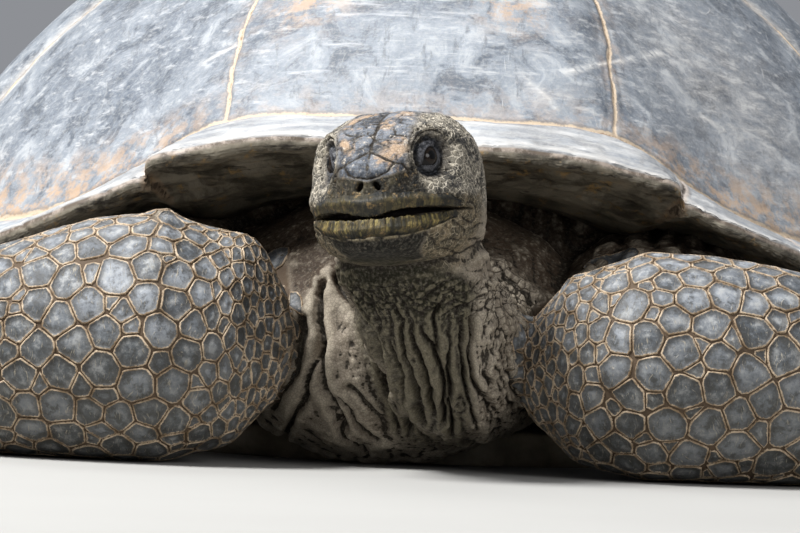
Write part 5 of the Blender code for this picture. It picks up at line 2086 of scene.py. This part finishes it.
def make_stage():
    """A pale floor, three soft lights and a pale sky."""
    mesh = bpy.data.meshes.new("floor")
    corners = [(x * FLOOR_REACH, y * FLOOR_REACH, 0) for x, y in ((-1, -1), (1, -1), (1, 1), (-1, 1))]
    mesh.from_pydata(corners, [], [(0, 1, 2, 3)])
    p = Paint("pale_floor", 0.85, 0.2)
    grain = p.noise(3.0, 3.0, 0.5)
    colour = p.mix(grain, (0.34, 0.335, 0.32), (0.37, 0.365, 0.35))
    mesh.materials.append(p.finish(colour, p.bump(grain, 0.001, 0.1)))
    floor = bpy.data.objects.new("floor", mesh)
    bpy.context.scene.collection.objects.link(floor)
    for name, facts in LIGHTS.items():
        area_light(name, *facts)
    world = bpy.data.worlds.new("studio")
    world.use_nodes = True
    background = world.node_tree.nodes["Background"]
    background.inputs["Color"].default_value = SKY_COLOUR
    background.inputs["Strength"].default_value = SKY_STRENGTH
    bpy.context.scene.world = world
    bpy.context.scene.view_settings.view_transform = "Standard"


def make_camera(middle):
    """At the photograph's height and heading, far off with a long lens."""
    camera = bpy.data.cameras.new("camera")
    camera.sensor_width = 36
    camera.lens = CAMERA_FOCAL
    camera.clip_end = 200
    obj = bpy.data.objects.new("camera", camera)
    bpy.context.scene.collection.objects.link(obj)
    heading = math.radians(CAMERA_HEADING)
    away = Vector((math.sin(heading), -math.cos(heading), 0)) * CAMERA_AWAY
    turn = Matrix.Rotation(heading + math.radians(CAMERA_AIM_LEFT), 4, "Z")
    turn = turn @ Matrix.Rotation(math.pi / 2 - math.radians(CAMERA_AIM_DOWN), 4, "X")
    turn = turn @ Matrix.Rotation(math.radians(CAMERA_ROLL), 4, "Z")
    place = away + Vector(middle) + Vector((0, 0, CAMERA_HEIGHT))
    obj.matrix_world = Matrix.Translation(place) @ turn
    bpy.context.scene.camera = obj


def make_all_scales(points, faces, middle):
    """The plates of every limb and of the tail."""
    out = normals(points, faces)
    paint = scale_paint()
    for name, limb in LIMBS.items():
        make_scales(f"scales_{name}", limb, points, faces, out, middle, paint)


def shell_middle():
    """Point of the floor under the middle of the shell, in the row frame."""
    low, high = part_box("carapace")
    return np.array([(low.x + high.x) / 2, (low.y + high.y) / 2, 0.0])


def main():
    """Makes the tortoise, its camera and its stage."""
    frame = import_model()
    middle = shell_middle()
    make_carapace(middle)
    make_plastron(frame)
    points, faces = make_skin(frame, Vector(middle))
    make_all_scales(points, faces, middle)
    make_eyes(Vector(middle))
    tree = tree_of(*head_loft())
    upper, lower = beak_paint("beak_horn_upper", 0.72), beak_paint("beak_horn_lower", 0.38)
    make_beak("beak_upper_horn", "upper_beak", True, tree, Vector(middle), upper)
    make_beak("beak_lower_horn", "lower_beak", False, tree, Vector(middle), lower)
    claws = claw_paint()
    make_claws("fore", FORE_CLAWS, middle, claws)
    make_claws("hind", HIND_CLAWS, middle, claws)
    make_camera(middle)
    make_stage()


main()
